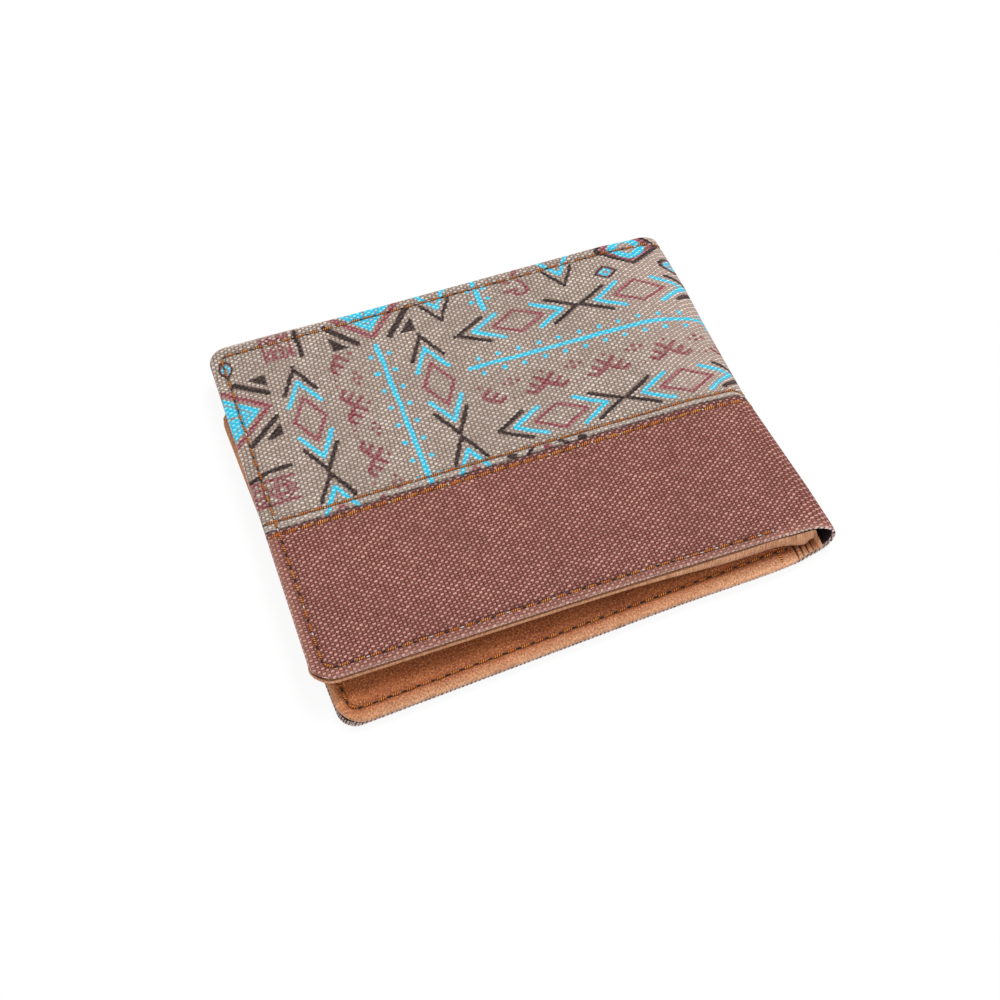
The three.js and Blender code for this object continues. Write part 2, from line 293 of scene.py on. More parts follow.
def shell_lines(side, x, t):
    """1 on the canvas's sewing rows and on the seam between the two canvases, 0 away from them; it also masks
    the painted shade there.
    """
    corner = np.where(t < LEAF_HEIGHT / 2, ROW_CORNER, TOP_CORNER)
    row = inside(x, t, FREE_ROW, BOTTOM_ROW + np.interp(x, *ROW_FALL[side]), LEAF_HEIGHT - TOP_ROW, corner)
    ended = fade(lengths[side] - x, ROW_STOP - ROW_FADE, ROW_STOP) * (t < 20)
    edge_row = (1 - ended) * bell(row, CHANNEL_WIDTH)
    seams = [bell(t + ROW_DROP * x - row, 0.5) for row in (PRINT_ROW, BROWN_ROW)]
    return np.maximum.reduce([edge_row, *seams, bell(t - SEAM, 0.22)])


def shell_relief(side, x, t):
    """Depth of the canvas's outer face: roll at the edges + channels + pits at the holes + waves."""
    name, near = leaf_names[side], lengths[side] - x
    edge = inside(x, t - lifted(side, x, t))
    roll = ROLL * (1 - np.sqrt(1 - (1 - np.clip(edge / ROLL_WIDTH, 0, 1)) ** 2))
    roll = roll * (1 - 0.6 * fade(near, 4, 12))
    points = np.vstack([rows[name, r].holes for r in ("edge", "print_seam", "brown_seam")])
    pits = SHELL_PIT[0] * bell(nearest(x, t, points), SHELL_PIT[1])
    swell = 0.05 + 0.05 * waves(x, t, 5 + int(side), 14) + 0.018 * waves(x, t, 9 + int(side), 4)
    swell = swell * ease(edge, 0.5, 5) * ease(near, 8, 18)
    return roll + CHANNEL * shell_lines(side, x, t) + pits + swell


def thinned(x, t, depth):
    """Layers crowd together where they are sewn: towards the free and bottom edges a depth shrinks
    to an edge value by a quarter round. At the top they part, so that the bill slot opens."""
    gap = np.clip(inside(x, t, top=OPEN_TOP) / PRESSED, 0, 1)
    share = np.sqrt(1 - (1 - gap) ** 2)
    at_edge = np.interp(depth, *PRESSED_TO)
    slot = ease(depth, 0.96, 1.0) * ease(t, 70, LEAF_HEIGHT) * ease(x, 6, 36) * fade(x, 84, 103)
    return at_edge + (depth - at_edge) * share + SLOT_OPENING * slot


def leather_lines(side, x, t):
    """1 on the leather's sewing row, 0 away from it."""
    row = inside(x, t, PANEL_ROW, PANEL_ROW, LEAF_HEIGHT - PANEL_ROW, PANEL_ROW_CORNER)
    return ease(lengths[side] - x, PANEL_STOP - ROW_FADE, PANEL_STOP) * bell(row, CHANNEL_WIDTH)


def leather_shade(side, x, t):
    """Where shade is painted into the leather: the channel of its sewing row, and the bottoms of its pleats,
    low down.
    """
    creases = np.clip(pleats(side, x, t) * 4, 0, 1.35) * (0.5 + 0.5 * ease(t, -1, 1.8))
    return np.maximum(leather_lines(side, x, t), creases * (1 - 0.8 * ease(t, 3, 8)))


def leather_relief(side, x, t):
    """How far the leather sinks: the channel of its row and pits, less a swelling between the row
    and the edge, and unevenness that fades towards the fold."""
    holes = rows[leaf_names[side], "panel"].holes
    pits = LEATHER_PIT[0] * bell(nearest(x, t, holes), LEATHER_PIT[1])
    soft = 0.03 * waves(x, t, 21 + int(side), 9) + 0.012 * waves(x, t, 25 + int(side), 2.2)
    soft = soft * ease(lengths[side] - x, 4.5, 12)
    puffed = 0.16 * bell(inside(x, t) - 1.2, 0.75)
    return CHANNEL * leather_lines(side, x, t) + pits + soft + 0.03 - puffed


PLEAT = 1.3                               # from one pleat beside the fold to the next
PLEAT_DEPTH = {BACK: 0.8, FRONT: 0.2}


def pleats(side, x, t):
    """Creases across the leather beside the fold, where the inside of the turn is too short for it:
    narrow valleys one pleat apart that widen away from the bottom edge."""
    near = lengths[side] - x
    place = (near + 0.25 * np.sin(t / 2.5) + 0.05) % PLEAT - PLEAT / 2
    gathered = ease(near, 2.8, 3.8) * fade(near, 8.6, 9.8) * (1 - 0.85 * ease(t, 3, 12))
    return PLEAT_DEPTH[side] * gathered * (bell(place, 0.17 + 0.06 * np.clip(t, 0, 3)) - 0.2)

# %% [markdown]
# ## A closed sheet
# One builder makes every sheet. It takes two grids of points, the outer face and the inner face,
# and closes them with a rounded rim. Solidify could thicken a single face, but here both faces have
# relief of their own. Whole arrays go in, and the faces are put the right way out by the sign of
# the volume that they enclose.

# %% Build closed sheets
def both(relief, side, x, t):
    """A relief that is written for one leaf, on a sheet that lies in both."""
    return np.where(np.broadcast_to(side, np.shape(x)) < 0, relief(BACK, x, t), relief(FRONT, x, t))


def border_numbers(lines_count, columns_count):
    """Vertex numbers round the border of a grid, each once."""
    grid = np.arange(lines_count * columns_count).reshape(lines_count, columns_count)
    return np.concatenate([grid[0, :-1], grid[:-1, -1], grid[-1, :0:-1], grid[:0:-1, 0]])


def quads(lines_count, columns_count):
    """The four corners of every cell of a grid."""
    a = np.arange(lines_count * columns_count).reshape(lines_count, columns_count)
    return np.stack([a[:-1, :-1], a[:-1, 1:], a[1:, 1:], a[1:, :-1]], -1).reshape(-1, 4)


def border_normals(x, t, open_left, open_right):
    """Unit vectors that point out of the grid's border, in the sheet's plane; 0 on a side that
    goes on into the next piece of the same sheet."""
    def side_normals(px, pt):
        dx, dt = np.gradient(px), np.gradient(pt)
        size = np.hypot(dx, dt)
        return np.stack([dt / size, -dx / size], -1)
    bottom, top = side_normals(x[0], t[0]), -side_normals(x[-1], t[-1])
    right = side_normals(x[:, -1], t[:, -1]) * (not open_right)
    left = -side_normals(x[:, 0], t[:, 0]) * (not open_left)
    return np.concatenate([bottom, right[1:-1], top[::-1], left[-2:0:-1]])


def in_scene(name, data):
    """An object made of a mesh, a lamp or a camera, placed in the scene."""
    thing = bpy.data.objects.new(name, data)
    bpy.context.scene.collection.objects.link(thing)
    return thing


def make_mesh(name, points, faces, attributes):
    """A mesh object from points in millimetres, with smooth faces and float or vector attributes."""
    triangles = (points[faces[:, ids]].transpose(1, 0, 2) for ids in ([0, 1, 2], [0, 2, 3]))
    volume = sum((a * np.cross(b, c)).sum() for a, b, c in triangles)
    mesh = bpy.data.meshes.new(name)
    mesh.from_pydata((points / 1000).tolist(), [], (faces if volume > 0 else faces[:, ::-1]).tolist())
    for key, values in attributes.items():
        kind, field = ("FLOAT", "value") if values.ndim == 1 else ("FLOAT_VECTOR", "vector")
        mesh.attributes.new(key, kind, "POINT").data.foreach_set(field, values.astype(np.float32).ravel())
    mesh.shade_smooth()
    mesh.set_sharp_from_angle(angle=np.radians(60))
    return in_scene(name, mesh)


def closed_sheet(name, side, x, t, outer, inner, bulge, leather=False, open_left=False, open_right=True):
    """Outer grid, inner grid and a rim of three rings whose points swell out by bulge sin(pi s)
    from one face to the other. Vertices carry their place on the cloth with 0 on the outer face and
    1 on the inner, the distance to the leaf's edge and the mask of painted shade on rows, seam and pleats."""
    border = border_numbers(*x.shape)
    normals = border_normals(x, t, open_left, open_right)
    s, px, pt, d0, d1 = (a.ravel() for a in np.broadcast_arrays(side, x, t, outer, inner))
    share = np.array([0.25, 0.5, 0.75])[:, None]
    swell = bulge * np.sin(np.pi * share)
    ring_x, ring_t = px[border] + swell * normals[:, 0], pt[border] + swell * normals[:, 1]
    ring_d = d0[border] * (1 - share) + d1[border] * share
    ring_s = np.broadcast_to(s[border], ring_x.shape)
    s, px, pt, depth = (np.concatenate([a, b, ring.ravel()]) for a, b, ring in (
        (s, s, ring_s), (px, px, ring_x), (pt, pt, ring_t), (d0, d1, ring_d)))
    faces, size = quads(*x.shape), x.size
    rings = [border, *(2 * size + k * len(border) + np.arange(len(border)) for k in range(3)), border + size]
    walls = [np.stack([a, b, np.roll(b, -1), np.roll(a, -1)], -1) for a, b in zip(rings, rings[1:])]
    within = np.concatenate([np.zeros(size), np.ones(size), np.broadcast_to(share, ring_x.shape).ravel()])
    faces = np.vstack([faces, faces[:, ::-1] + size, *walls])
    return make_mesh(name, folded(s, px, pt, depth, leather), faces, {
        "cloth": np.stack([*cloth_place(s, px, pt), within], -1),
        # sewn masks the painted shade in the rows' channels, along the seam and in the leather's pleats
        "sewn": both(leather_shade if leather else shell_lines, s, px, pt),
        "edge": inside(px, pt - lifted(s, px, pt))})


# %% Grids for the leaves and the spine
def lines(*spans):
    """Grid lines: each span (start, stop, step) is divided evenly, in steps of about that size."""
    parts = [np.linspace(a, b, max(2, int(round((b - a) / step)) + 1))[:-1] for a, b, step in spans]
    return np.append(np.concatenate(parts), spans[-1][1])


def leaf_grid(side, heights, inset, turn, nominal, round_bottom=True, round_top=True, corner=CORNER):
    """Columns run from the free edge, which follows the round corners, to a given turn round the
    spine or, where that is negative, to that many millimetres before its outside."""
    radius = corner - inset
    t = heights[:, None]
    low = np.clip(radius - (t - inset), 0, radius) * round_bottom
    high = np.clip(radius - (LEAF_HEIGHT - inset - t), 0, radius) * round_top
    free = inset + radius - np.sqrt(radius ** 2 - np.maximum(low, high) ** 2)
    stop = x_of_turn(side, t, turn) if turn >= 0 else outside(side, t) + turn
    share = (nominal - nominal[0]) / (nominal[-1] - nominal[0])
    return free + (stop - free) * share, np.broadcast_to(t, (len(heights), len(nominal)))


TUCK = 1.3                # how far the back leaf's free edge stays behind the front's, at the top


def tucked(side, x, t, start=81.7):
    """Moves the back leaf's free edge in, above a height."""
    return x + TUCK * (side < 0) * ease(t, start, start + 2.2) * fade(x, 0, 20)


LIFT = ([0, 60, 90, 100, 107], [0.8, 0.8, 0.55, 0.35, 0.35])      # along the front's bottom edge
PANEL_LIFT = ([0, 55, 80, 90, 100], [0.85, 0.85, 0.5, 0.25, 0.0])


def lifted(side, x, t, lift=LIFT):
    """How far the front leaf's bottom edge lies further in than its nominal outline."""
    return (side > 0) * np.interp(x, *lift) * fade(t, 0, 6) * fade(x, 107.5, 112)


def spine_grid(heights, turn, steps):
    """Columns run round the spine from the back leaf's side to the front leaf's."""
    angle = np.linspace(turn - 90, 90 - turn, steps)
    side = np.where(angle < 0, BACK, FRONT)
    t = np.broadcast_to(heights[:, None], (len(heights), steps))
    return np.broadcast_to(side, t.shape), x_of_turn(side, t, 90 - np.abs(angle)), t


print("from 0 to 1 and on to 3:", lines((0, 1, 0.26), (1, 3, 0.9)))

# %% [markdown]
# ## Nodes that read as formulas
# A printed cloth or a grained leather takes dozens of maths nodes. Placing them one by one hides
# the idea, so a small class stands for the output of a node, and +, -, * and the rest each make
# the node that does it. A node group made with it has named inputs and outputs, and is built once.

# %% Short names for shader nodes
class Field:
    """One output socket. Arithmetic on it makes Math or Vector Math nodes in the same tree."""

    def __init__(self, tree, socket):
        self.tree, self.socket = tree, socket

    def make(self, kind, inputs, output=0, **settings):
        return Field(self.tree, make_node(self.tree, kind, inputs, **settings).outputs[output])

    def math(self, operation, *others, clamp=False):
        return self.make("Math", dict(enumerate((self, *others))), operation=operation, use_clamp=clamp)

    def vector(self, operation, *others):
        output = 1 if operation in ("LENGTH", "DOT_PRODUCT") else 0
        return self.make("VectorMath", dict(enumerate((self, *others))), output, operation=operation)

    def __add__(self, other): return self.math("ADD", other)
    def __sub__(self, other): return self.math("SUBTRACT", other)
    def __rsub__(self, other): return self.math("MULTIPLY_ADD", -1.0, other)
    def __mul__(self, other): return self.math("MULTIPLY", other)
    def __mod__(self, other): return self.math("FLOORED_MODULO", other)
    def __pow__(self, other): return self.math("POWER", other)
    def __abs__(self): return self.math("ABSOLUTE")

    def least(self, other): return self.math("MINIMUM", other)
    def most(self, other): return self.math("MAXIMUM", other)
    def cosine(self): return self.math("COSINE")

    def rise(self, low, high):
        """0 to 1 as the field goes from low to high, straight; falls where high is the smaller."""
        scale = 1 / (high - low)
        return self.math("MULTIPLY_ADD", scale, -low * scale, clamp=True)

    def below(self, limit):
        return self.math("LESS_THAN", limit)

    def choose(self, low, high):
        """low where this field is 0, high where it is 1; numbers or fields."""
        return self.make("Mix", {"Factor": self, "A": low, "B": high}, "Result")

    def blend(self, colour_a, colour_b):
        """Colour a where this field is 0, colour b where it is 1; fields, or numbers to 255."""
        a, b = (c if isinstance(c, Field) else colour(*c) for c in (colour_a, colour_b))
        return self.make("Mix", {0: self, 6: a, 7: b}, 2, data_type="RGBA")

    def fold(self, period):
        """Distance to the nearest multiple of a period, so that one drawing repeats mirrored."""
        return abs((self + period / 2) % period - period / 2)

    def parts(self):
        split = make_node(self.tree, "SeparateXYZ", {0: self})
        return [Field(self.tree, split.outputs[k]) for k in range(3)]


def make_node(tree, kind, inputs, **settings):
    """A shader node with its settings, and with a link or a value on each named input. A number
    on a vector's input stands for all its parts."""
    node = tree.nodes.new("ShaderNode" + kind)
    for key, value in settings.items():
        setattr(node, key, value)
    for key, value in inputs.items():
        socket = node.inputs[key]
        if isinstance(value, Field):
            tree.links.new(value.socket, socket)
        elif isinstance(value, (int, float)) and socket.type in ("VECTOR", "RGBA"):
            socket.default_value = [value] * len(socket.default_value)
        else:
            socket.default_value = value
    return node


def vector_of(x, y):
    """The vector (x, y, 0); x is a field, y a field or a number."""
    return x.make("CombineXYZ", {0: x, 1: y})


def length(x, y):
    return vector_of(x, y).vector("LENGTH")


def noise(place, scale, detail=2.0, roughness=0.5, output=0):
    """Smooth noise round 0.5 at so many features a millimetre."""
    inputs = {"Vector": place, "Scale": scale, "Detail": detail, "Roughness": roughness}
    return place.make("TexNoise", inputs, output)


def node_group(name, inputs, outputs, build):
    """A shader node group. inputs gives name: default, three numbers for a vector; outputs gives
    name: how many numbers. build gets the inputs as fields and gives back the outputs."""
    tree = bpy.data.node_groups.new(name, "ShaderNodeTree")
    kinds = {1: "NodeSocketFloat", 3: "NodeSocketVector"}
    for key, default in inputs.items():
        socket = tree.interface.new_socket(key, in_out="INPUT", socket_type=kinds[np.size(default)])
        socket.default_value = default
    for key, kind in outputs.items():
        tree.interface.new_socket(key, in_out="OUTPUT", socket_type=kinds[kind])
    source, sink = tree.nodes.new("NodeGroupInput"), tree.nodes.new("NodeGroupOutput")
    made = build(*(Field(tree, source.outputs[key]) for key in inputs))
    for key, field in zip(outputs, made if isinstance(made, tuple) else (made,)):
        tree.links.new(field.socket, sink.inputs[key])
    return tree


def use(tree, group, **inputs):
    """Places a group in a material, and gives its outputs as fields."""
    named = {key.replace("_", " "): value for key, value in inputs.items()}
    return [Field(tree, out) for out in make_node(tree, "Group", named, node_tree=group).outputs]


def colour(red, green, blue):
    """A colour as it looks on a screen, 0 to 255, as the linear numbers that a shader takes."""
    c = np.array([red, green, blue]) / 255
    linear = np.where(c <= 0.04045, c / 12.92, ((c + 0.055) / 1.055) ** 2.4)
    return (*linear.tolist(), 1.0)


def attribute(tree, name, output="Vector"):
    return Field(tree, make_node(tree, "Attribute", {}, attribute_name=name).outputs[output])

# %% [markdown]
# ## Plain weave
# Both canvases are a coarse plain weave: every crossing shows a short float of one yarn, and the
# floats of the lighter yarn stand like bricks. cos(a) cos(b) is +1 and -1 at alternate crossings and
# 0 between them, which is the whole weave in one product, and it equals half of cos(a - b) +
# cos(a + b). With a larger share for the first, the floats join into slanting ribs, as where the
# cloth is stretched. Each crossing gets its own brightness, the yarns waver, and noise is the fibre.

# %% Group: weave
def build_weave(place, pitch_x, pitch_y, waver, slant):
    sway = noise(place, 0.3, 1.0, output=1).vector("SUBTRACT", 0.5)
    shake = noise(place, 1.5, 1.0, output=1).vector("SUBTRACT", 0.5)
    moved = sway.vector("MULTIPLY_ADD", vector_of(waver, waver), place)
    moved = shake.vector("MULTIPLY_ADD", vector_of(waver * 0.9, waver * 0.7), moved)
    x, y, _ = moved.parts()
    column, line = x.math("DIVIDE", pitch_x), y.math("DIVIDE", pitch_y)
    a, b = column * np.pi, line * np.pi
    rising = slant * 0.5 + 0.5
    crossing = (a - b).cosine() * rising + (a + b).cosine() * (1.0 - rising)
    cell = vector_of(column.math("ROUND"), line.math("ROUND"))
    chance = cell.make("TexWhiteNoise", {"Vector": cell}, "Value", noise_dimensions="2D")
    fibres = noise(vector_of(x * 5.0, y * 12.0), 1.0, 2.0, 0.7)
    light = (chance * 0.22 + fibres * 0.5 - crossing).rise(0.35, 1.03)
    dark = (crossing + fibres * 0.4).rise(0.2, 0.8)
    fleck = noise(place, 4.5, 2.0, 0.7).rise(0.5, 0.7)
    height = light.most(dark * 0.8) * 0.85 + fibres * 0.2 + chance * 0.12
    centre = vector_of(column.math("ROUND") * pitch_x, line.math("ROUND") * pitch_y)
    ragged = vector_of(chance, fibres).vector("SUBTRACT", 0.5).vector("MULTIPLY", 0.2)
    snapped = moved.vector("ADD", centre.vector("SUBTRACT", moved).vector("MULTIPLY", 0.3))
    return light, light.most(dark), chance, height, fleck, snapped.vector("ADD", ragged)


weave = node_group(
    "weave", {"Place": (0, 0, 0), "Pitch X": 0.9, "Pitch Y": 0.6, "Waver": 0.3, "Slant": 0.2},
    {"Light float": 1, "Any float": 1, "Chance": 1, "Height": 1, "Fleck": 1, "Snapped place": 3}, build_weave)

# %% [markdown]
# ## Printed ornament
# The print is a traditional geometric pattern: chains of diamonds between chevrons, dotted lines,
# rows of combs, half medallions and small eyes. It runs upright on the free half of a leaf and
# along it on the spine half. An image could carry it, but drawn as distances to strokes it stays
# sharp at any size. Folding the coordinates lets one stroke draw a whole row.

# %% Distances to strokes
def stroke(point, start, stop, half):
    """Distance from a point to the line from start to stop, less half the stroke's width."""
    start, run = np.array([*start, 0.0]), np.array([*stop, 0.0]) - np.array([*start, 0.0])
    from_start = point.vector("SUBTRACT", tuple(start))
    share = from_start.vector("DOT_PRODUCT", tuple(run / (run @ run))).math("ADD", 0.0, clamp=True)
    spread = vector_of(share, share)
    return spread.vector("MULTIPLY_ADD", tuple(-run), from_start).vector("LENGTH") - half


def union(first, *others):
    """Distance to the nearest of several marks."""
    for other in others:
        first = first.least(other)
    return first


def strokes(point, paths, half):
    """Distance to the nearest of several open polylines."""
    return union(*(stroke(point, a, b, half) for path in paths for a, b in zip(path, path[1:])))


def dot(p, q, centre, radius):
    return length(p - centre[0], q - centre[1]) - radius


# %% Group: ornament
REPEAT = 115.5            # length of the print's repeat, along the strip
SPLIT = 54.8              # where the upright part of a repeat ends
TOP_BAND = 79.6           # the marks between the seam and the top band stop here
TILT = 0.0176             # the print lies askew: it falls by this share of x
UPRIGHT_TILT = 0.004      # and its upright half leans by this share of y
LAID = 0.6                # and its spine half lies this much higher
BIG_EYE = 2.75            # size of the eye in the corner, in sizes of a small one
FAR = 99.0                # added to a distance, it takes a mark away


def build_ornament(place):
    """Masks of the turquoise, burgundy, dark and fine burgundy marks: 1 inside a mark, 0 outside,
    over a soft edge. All places and sizes are millimetres on the cloth."""
    x, y, _ = place.parts()
    tilted = y + (x.least(112.0) - 17.0) * TILT
    x = x % REPEAT
    upright = x.below(SPLIT)
    steep = (upright + y.rise(79.9, 80.1)).least(1.0)
    x, y = x - (y - 65.0) * steep.choose(TILT, UPRIGHT_TILT), tilted
    y = y - (1.0 - upright) * LAID
    lower = y - TOP_BAND
    # chains of diamonds: p along the chain, q across it, both folded
    p = upright.choose(x - 70.3, y - 63.8).fold(30.3)
    q = upright.choose((y - 46.0).fold(29.0), (x - 17.3).fold(30.0))
    chain = vector_of(p, q)
    blue = strokes(chain, [[(10.9, 0), (4.4, 3.7)]], 0.5)
    red = strokes(chain, [[(6.2, 0), (0, 3.4)]], 0.43)
    dark = strokes(chain, [[(14.7, 0), (8.0, 3.7)]], 0.5)
    # dotted lines
    p = upright.choose((x - 57.9) * 1.03, y - 76.0).fold(5.07)
    q = upright.choose(abs(y - 65.0), abs(x - 37.2))
    blue = union(blue, q - 0.54, dot(p, q, (0, 2.15), 0.6))
    # sprigs, crossed stems with curled arms, and the clusters of dots between them
    p = upright.choose(x - 70.3, y - 63.9).fold(14.95)
    q = upright.choose(y - 55.9, x - 27.7)
    sprig = vector_of(p, q)
    red_fine = union(
        strokes(sprig, [[(2.0, 2.0), (0, 0.1), (1.4, -1.2), (3.3, -2.2), (4.8, -1.3)],
                        [(3.4, 0.3), (2.0, -1.0)]], 0.5),
        dot(p, q, (0, 3.1), 0.45), dot(p, q, (5.9, 2.6), 0.5), dot(p, q, (7.47, 3.4), 0.5),
        dot(p, q, (7.47, 1.9), 0.5), dot(p, q, (6.6, -2.1), 0.3))
    blue, red, dark, red_fine = (d.most(lower) for d in (blue, red, dark, red_fine))
    # chevrons hanging from the top edge
    hung = x.below(47.0).math("ADD", (92.0 - x).below(0.0), clamp=True)
    chevron = vector_of((x - 53.8).fold(30.8), y + hung * FAR)
    blue = union(blue, strokes(chevron, [[(0, 85.4), (3.9, 91.0)]], 0.5))
    dark = union(dark, strokes(chevron, [[(0, 81.6), (3.6, 87.2)]], 0.44))
    # half medallions: p along the edge they grow from, q away from it
    left = x.below(14.0)
    off = left.most((y - TOP_BAND).rise(0.0, 0.01)).rise(1.0, 0.0)
    p = left.choose(abs(x - 37.2), abs(y - 69.1 - x * 0.12) * 1.12)
    q = left.choose(91.3 - y, x) + off * FAR
    half = vector_of(p, q)
    field = p * 1.05 + q - 7.5
    gaps = union(abs(field + 2.1) - 0.2, stroke(half, (0, 0.4), (0, 3.2), 0.3))
    blue = union(blue, field.most(gaps * -1.0))
    red = union(red, strokes(half, [[(0, 9.6), (8.6, 0.4)]], 0.62))
    dark = union(dark, strokes(half, [[(9.9, 3.4), (3.9, 10.3)]], 0.72))
    wedge = (p + q * 0.92 - 15.9) * -0.74
    dark = union(dark, wedge.most(p - 9.9).most(q - 10.7))
    # eyes, rings round a light centre: where, how square, how large and how tall
    eyes = []
    for (cx, cy), square, size, tall in (
            ((2.9, 83.4), 0.25, 0.68, 0.7), ((95.3, 82.4), 0.85, 1.14, 1.4), ((111.3, 82.6), 0.25, 1.0, 1.0),
            ((103.0, 89.4), 0.6, BIG_EYE, 1.36), ((103.1, 89.0), 0.4, 2.5, 1.3)):
        dx, dy = abs(x - cx), abs(y - cy) * tall
        eyes.append((length(dx, dy) * (1 - square) + (dx + dy) * square) * (1 / size))
    small, big, iris = union(*eyes[:3]), eyes[3], eyes[4]
    blue = union(blue, abs(small - 1.15) - 0.42, (abs(iris - 1.45) - 0.48) * BIG_EYE)
    dark = union(dark, abs(small - 2.3) - 0.36, (abs(big - 2.7) - 0.28) * BIG_EYE)
    red = union(red, abs(small - 1.8) - 0.18, (abs(big - 2.1) - 0.33) * BIG_EYE)
    # single marks
    flat = vector_of(x, y)
    blue = union(blue, strokes(flat, [[(64.1, 81.0), (64.1, 91.5)]], 0.6),
                 dot(abs(x - 64.1), abs(y - 85.4), (2.0, 1.8), 0.6))
    dark = union(dark, strokes(
        flat, [[(20.3, 81.9), (20.5, 91.0)], [(0, 51.1), (4.6, 52.7), (9.8, 53.2)]], 0.54))
    red_fine = union(red_fine, strokes(flat, [
        [(70.4, 84.0), (73.4, 84.4), (72.6, 83.0), (74.4, 82.4), (76.0, 83.2), (75.4, 86.2)],
        [(75.4, 86.2), (74.6, 87.0)], [(70.6, 87.4), (72.4, 86.6)], [(74.0, 89.0), (75.6, 90.4)]], 0.42))
    # two scraps of lattice, rings in diamonds between lines, and marks that the seam cuts off
    high = y.rise(66.0, 66.1)
    p = high.choose(x - 6.7, y - 84.0).fold(5.4)
    q = abs(high.choose(y - 47.4, x - 15.4))
    lattice = union(abs(length(p, q) - 1.2) - 0.4, abs(p + q - 3.0) - 0.4, abs(q - 3.15) - 0.38)
    scrap = high.choose(x - 9.9, 82.2 - y).most(q - 3.5)
    red_fine = union(red_fine, lattice.most(scrap) + high.choose(0.0, (x - 14.0).rise(8.0, 8.1)) * FAR)
    for cx in (56.3, 72.6):
        dark = union(dark, length(abs(x - cx), abs(y - 38.9) * 1.5) - 1.15)
    dark = union(dark, strokes(flat, [[(59.8, 38.2), (61.4, 39.7)], [(67.5, 39.8), (69.2, 38.3)]], 0.46))
    red_fine = union(red_fine, dot(x, y, (64.5, 38.8), 1.0))
    return tuple(d.rise(0.14, -0.14) for d in (blue, red, dark, red_fine))


ornament = node_group("ornament", {"Place": (0, 0, 0)},
                      {"Turquoise": 1, "Burgundy": 1, "Dark": 1, "Fine burgundy": 1}, build_ornament)
print(len(ornament.nodes), "nodes draw the print")

# %% [markdown]
# ## Effects that the finishes share
# Sewn goods wear in the same way whatever they are made of: the edges go pale first, in patches.
# One group gives that mask from the distance to the leaf's edge, and both canvases and the leather
# use it with their own widths. On the leather the paler border is partly painted highlight.

# %% Group: edge wear and highlight
def build_wear_and_highlight(place, edge, width, patches):
    """1 at the very edge, falling to 0 over a width that noise makes uneven."""
    uneven = noise(place, 0.6, 3.0) * patches + (1.0 - patches)
    return (edge.math("DIVIDE", width) - uneven).rise(0.0, -1.0)


wear_and_highlight = node_group("edge wear", {"Place": (0, 0, 0), "Edge": 10.0, "Width": 1.0, "Patches": 0.5},
                  {"Mask": 1}, build_wear_and_highlight)


# %% A material's own end: one shader, with a bump
def finish(name, plain, build, roughness, sheen, specular):
    """A material whose build(tree) gives a colour, a roughness, a height and the bump's depth in
    metres. Values that are the same all over go on the shader's own sockets. The plain colour and
    the plain roughness are for views without nodes."""
    material = bpy.data.materials.new(name)
    material.use_nodes = True
    material.diffuse_color = colour(*plain)
    tree = material.node_tree
    shader = tree.nodes["Principled BSDF"]
    shader.inputs["Specular IOR Level"].default_value = specular
    shader.inputs["Sheen Weight"].default_value = sheen
    shader.inputs["Roughness"].default_value = roughness
    base, rough, height, depth = build(tree)
    bump = make_node(tree, "Bump", {"Height": height, "Distance": depth, "Strength": 1.0})
    tree.links.new(base.socket, shader.inputs["Base Color"])
    tree.links.new(rough.socket, shader.inputs["Roughness"])
    tree.links.new(bump.outputs["Normal"], shader.inputs["Normal"])
    return material

# %% [markdown]
# ## Printed canvas
# The cloth is undyed and greyish, and the ink lies on the crowns of the yarns, so the edges of the
# ornament are ragged and the ground shows between the floats. Its cut edges are paler than its face.

# %% Finish: printed canvas
def measures(tree):
    """What a vertex carries: its place on the cloth, the three parts of that, its distance to the
    edge and the mask of painted shade along the sewing rows, the seam and the creases."""
    place = attribute(tree, "cloth")
    return place, *place.parts(), attribute(tree, "edge", "Fac"), attribute(tree, "sewn", "Fac")


def coats(base, *layers):
    """Lays colours over a base, one after the other, each where its mask is 1."""
    for mask, shade in layers:
        base = mask.blend(base, shade)
    return base


def edge_wear_and_highlight(place, edge, width, patches):
    return use(place.tree, wear_and_highlight, Place=place, Edge=edge, Width=width, Patches=patches)[0]


def on_the_grain(place, lean_x, lean_y):
    """A place measured along yarns that run askew: x less a share of y, y plus a share of x."""
    x, y, _ = place.parts()
    return vector_of(x - y * lean_x, y + x * lean_y)


def rim_threads(run, dark, pale):
    """Colour of a cut edge: the yarns' ends stand side by side along it, pale, dark between them."""
    tufts = noise(vector_of(run, run * 0.5), 1.9, 2.0, 0.6)
    ends = (run * 7.0 + tufts * 6.0).cosine() * 0.25
    return (tufts + ends).rise(0.28, 0.56).blend(dark, pale)


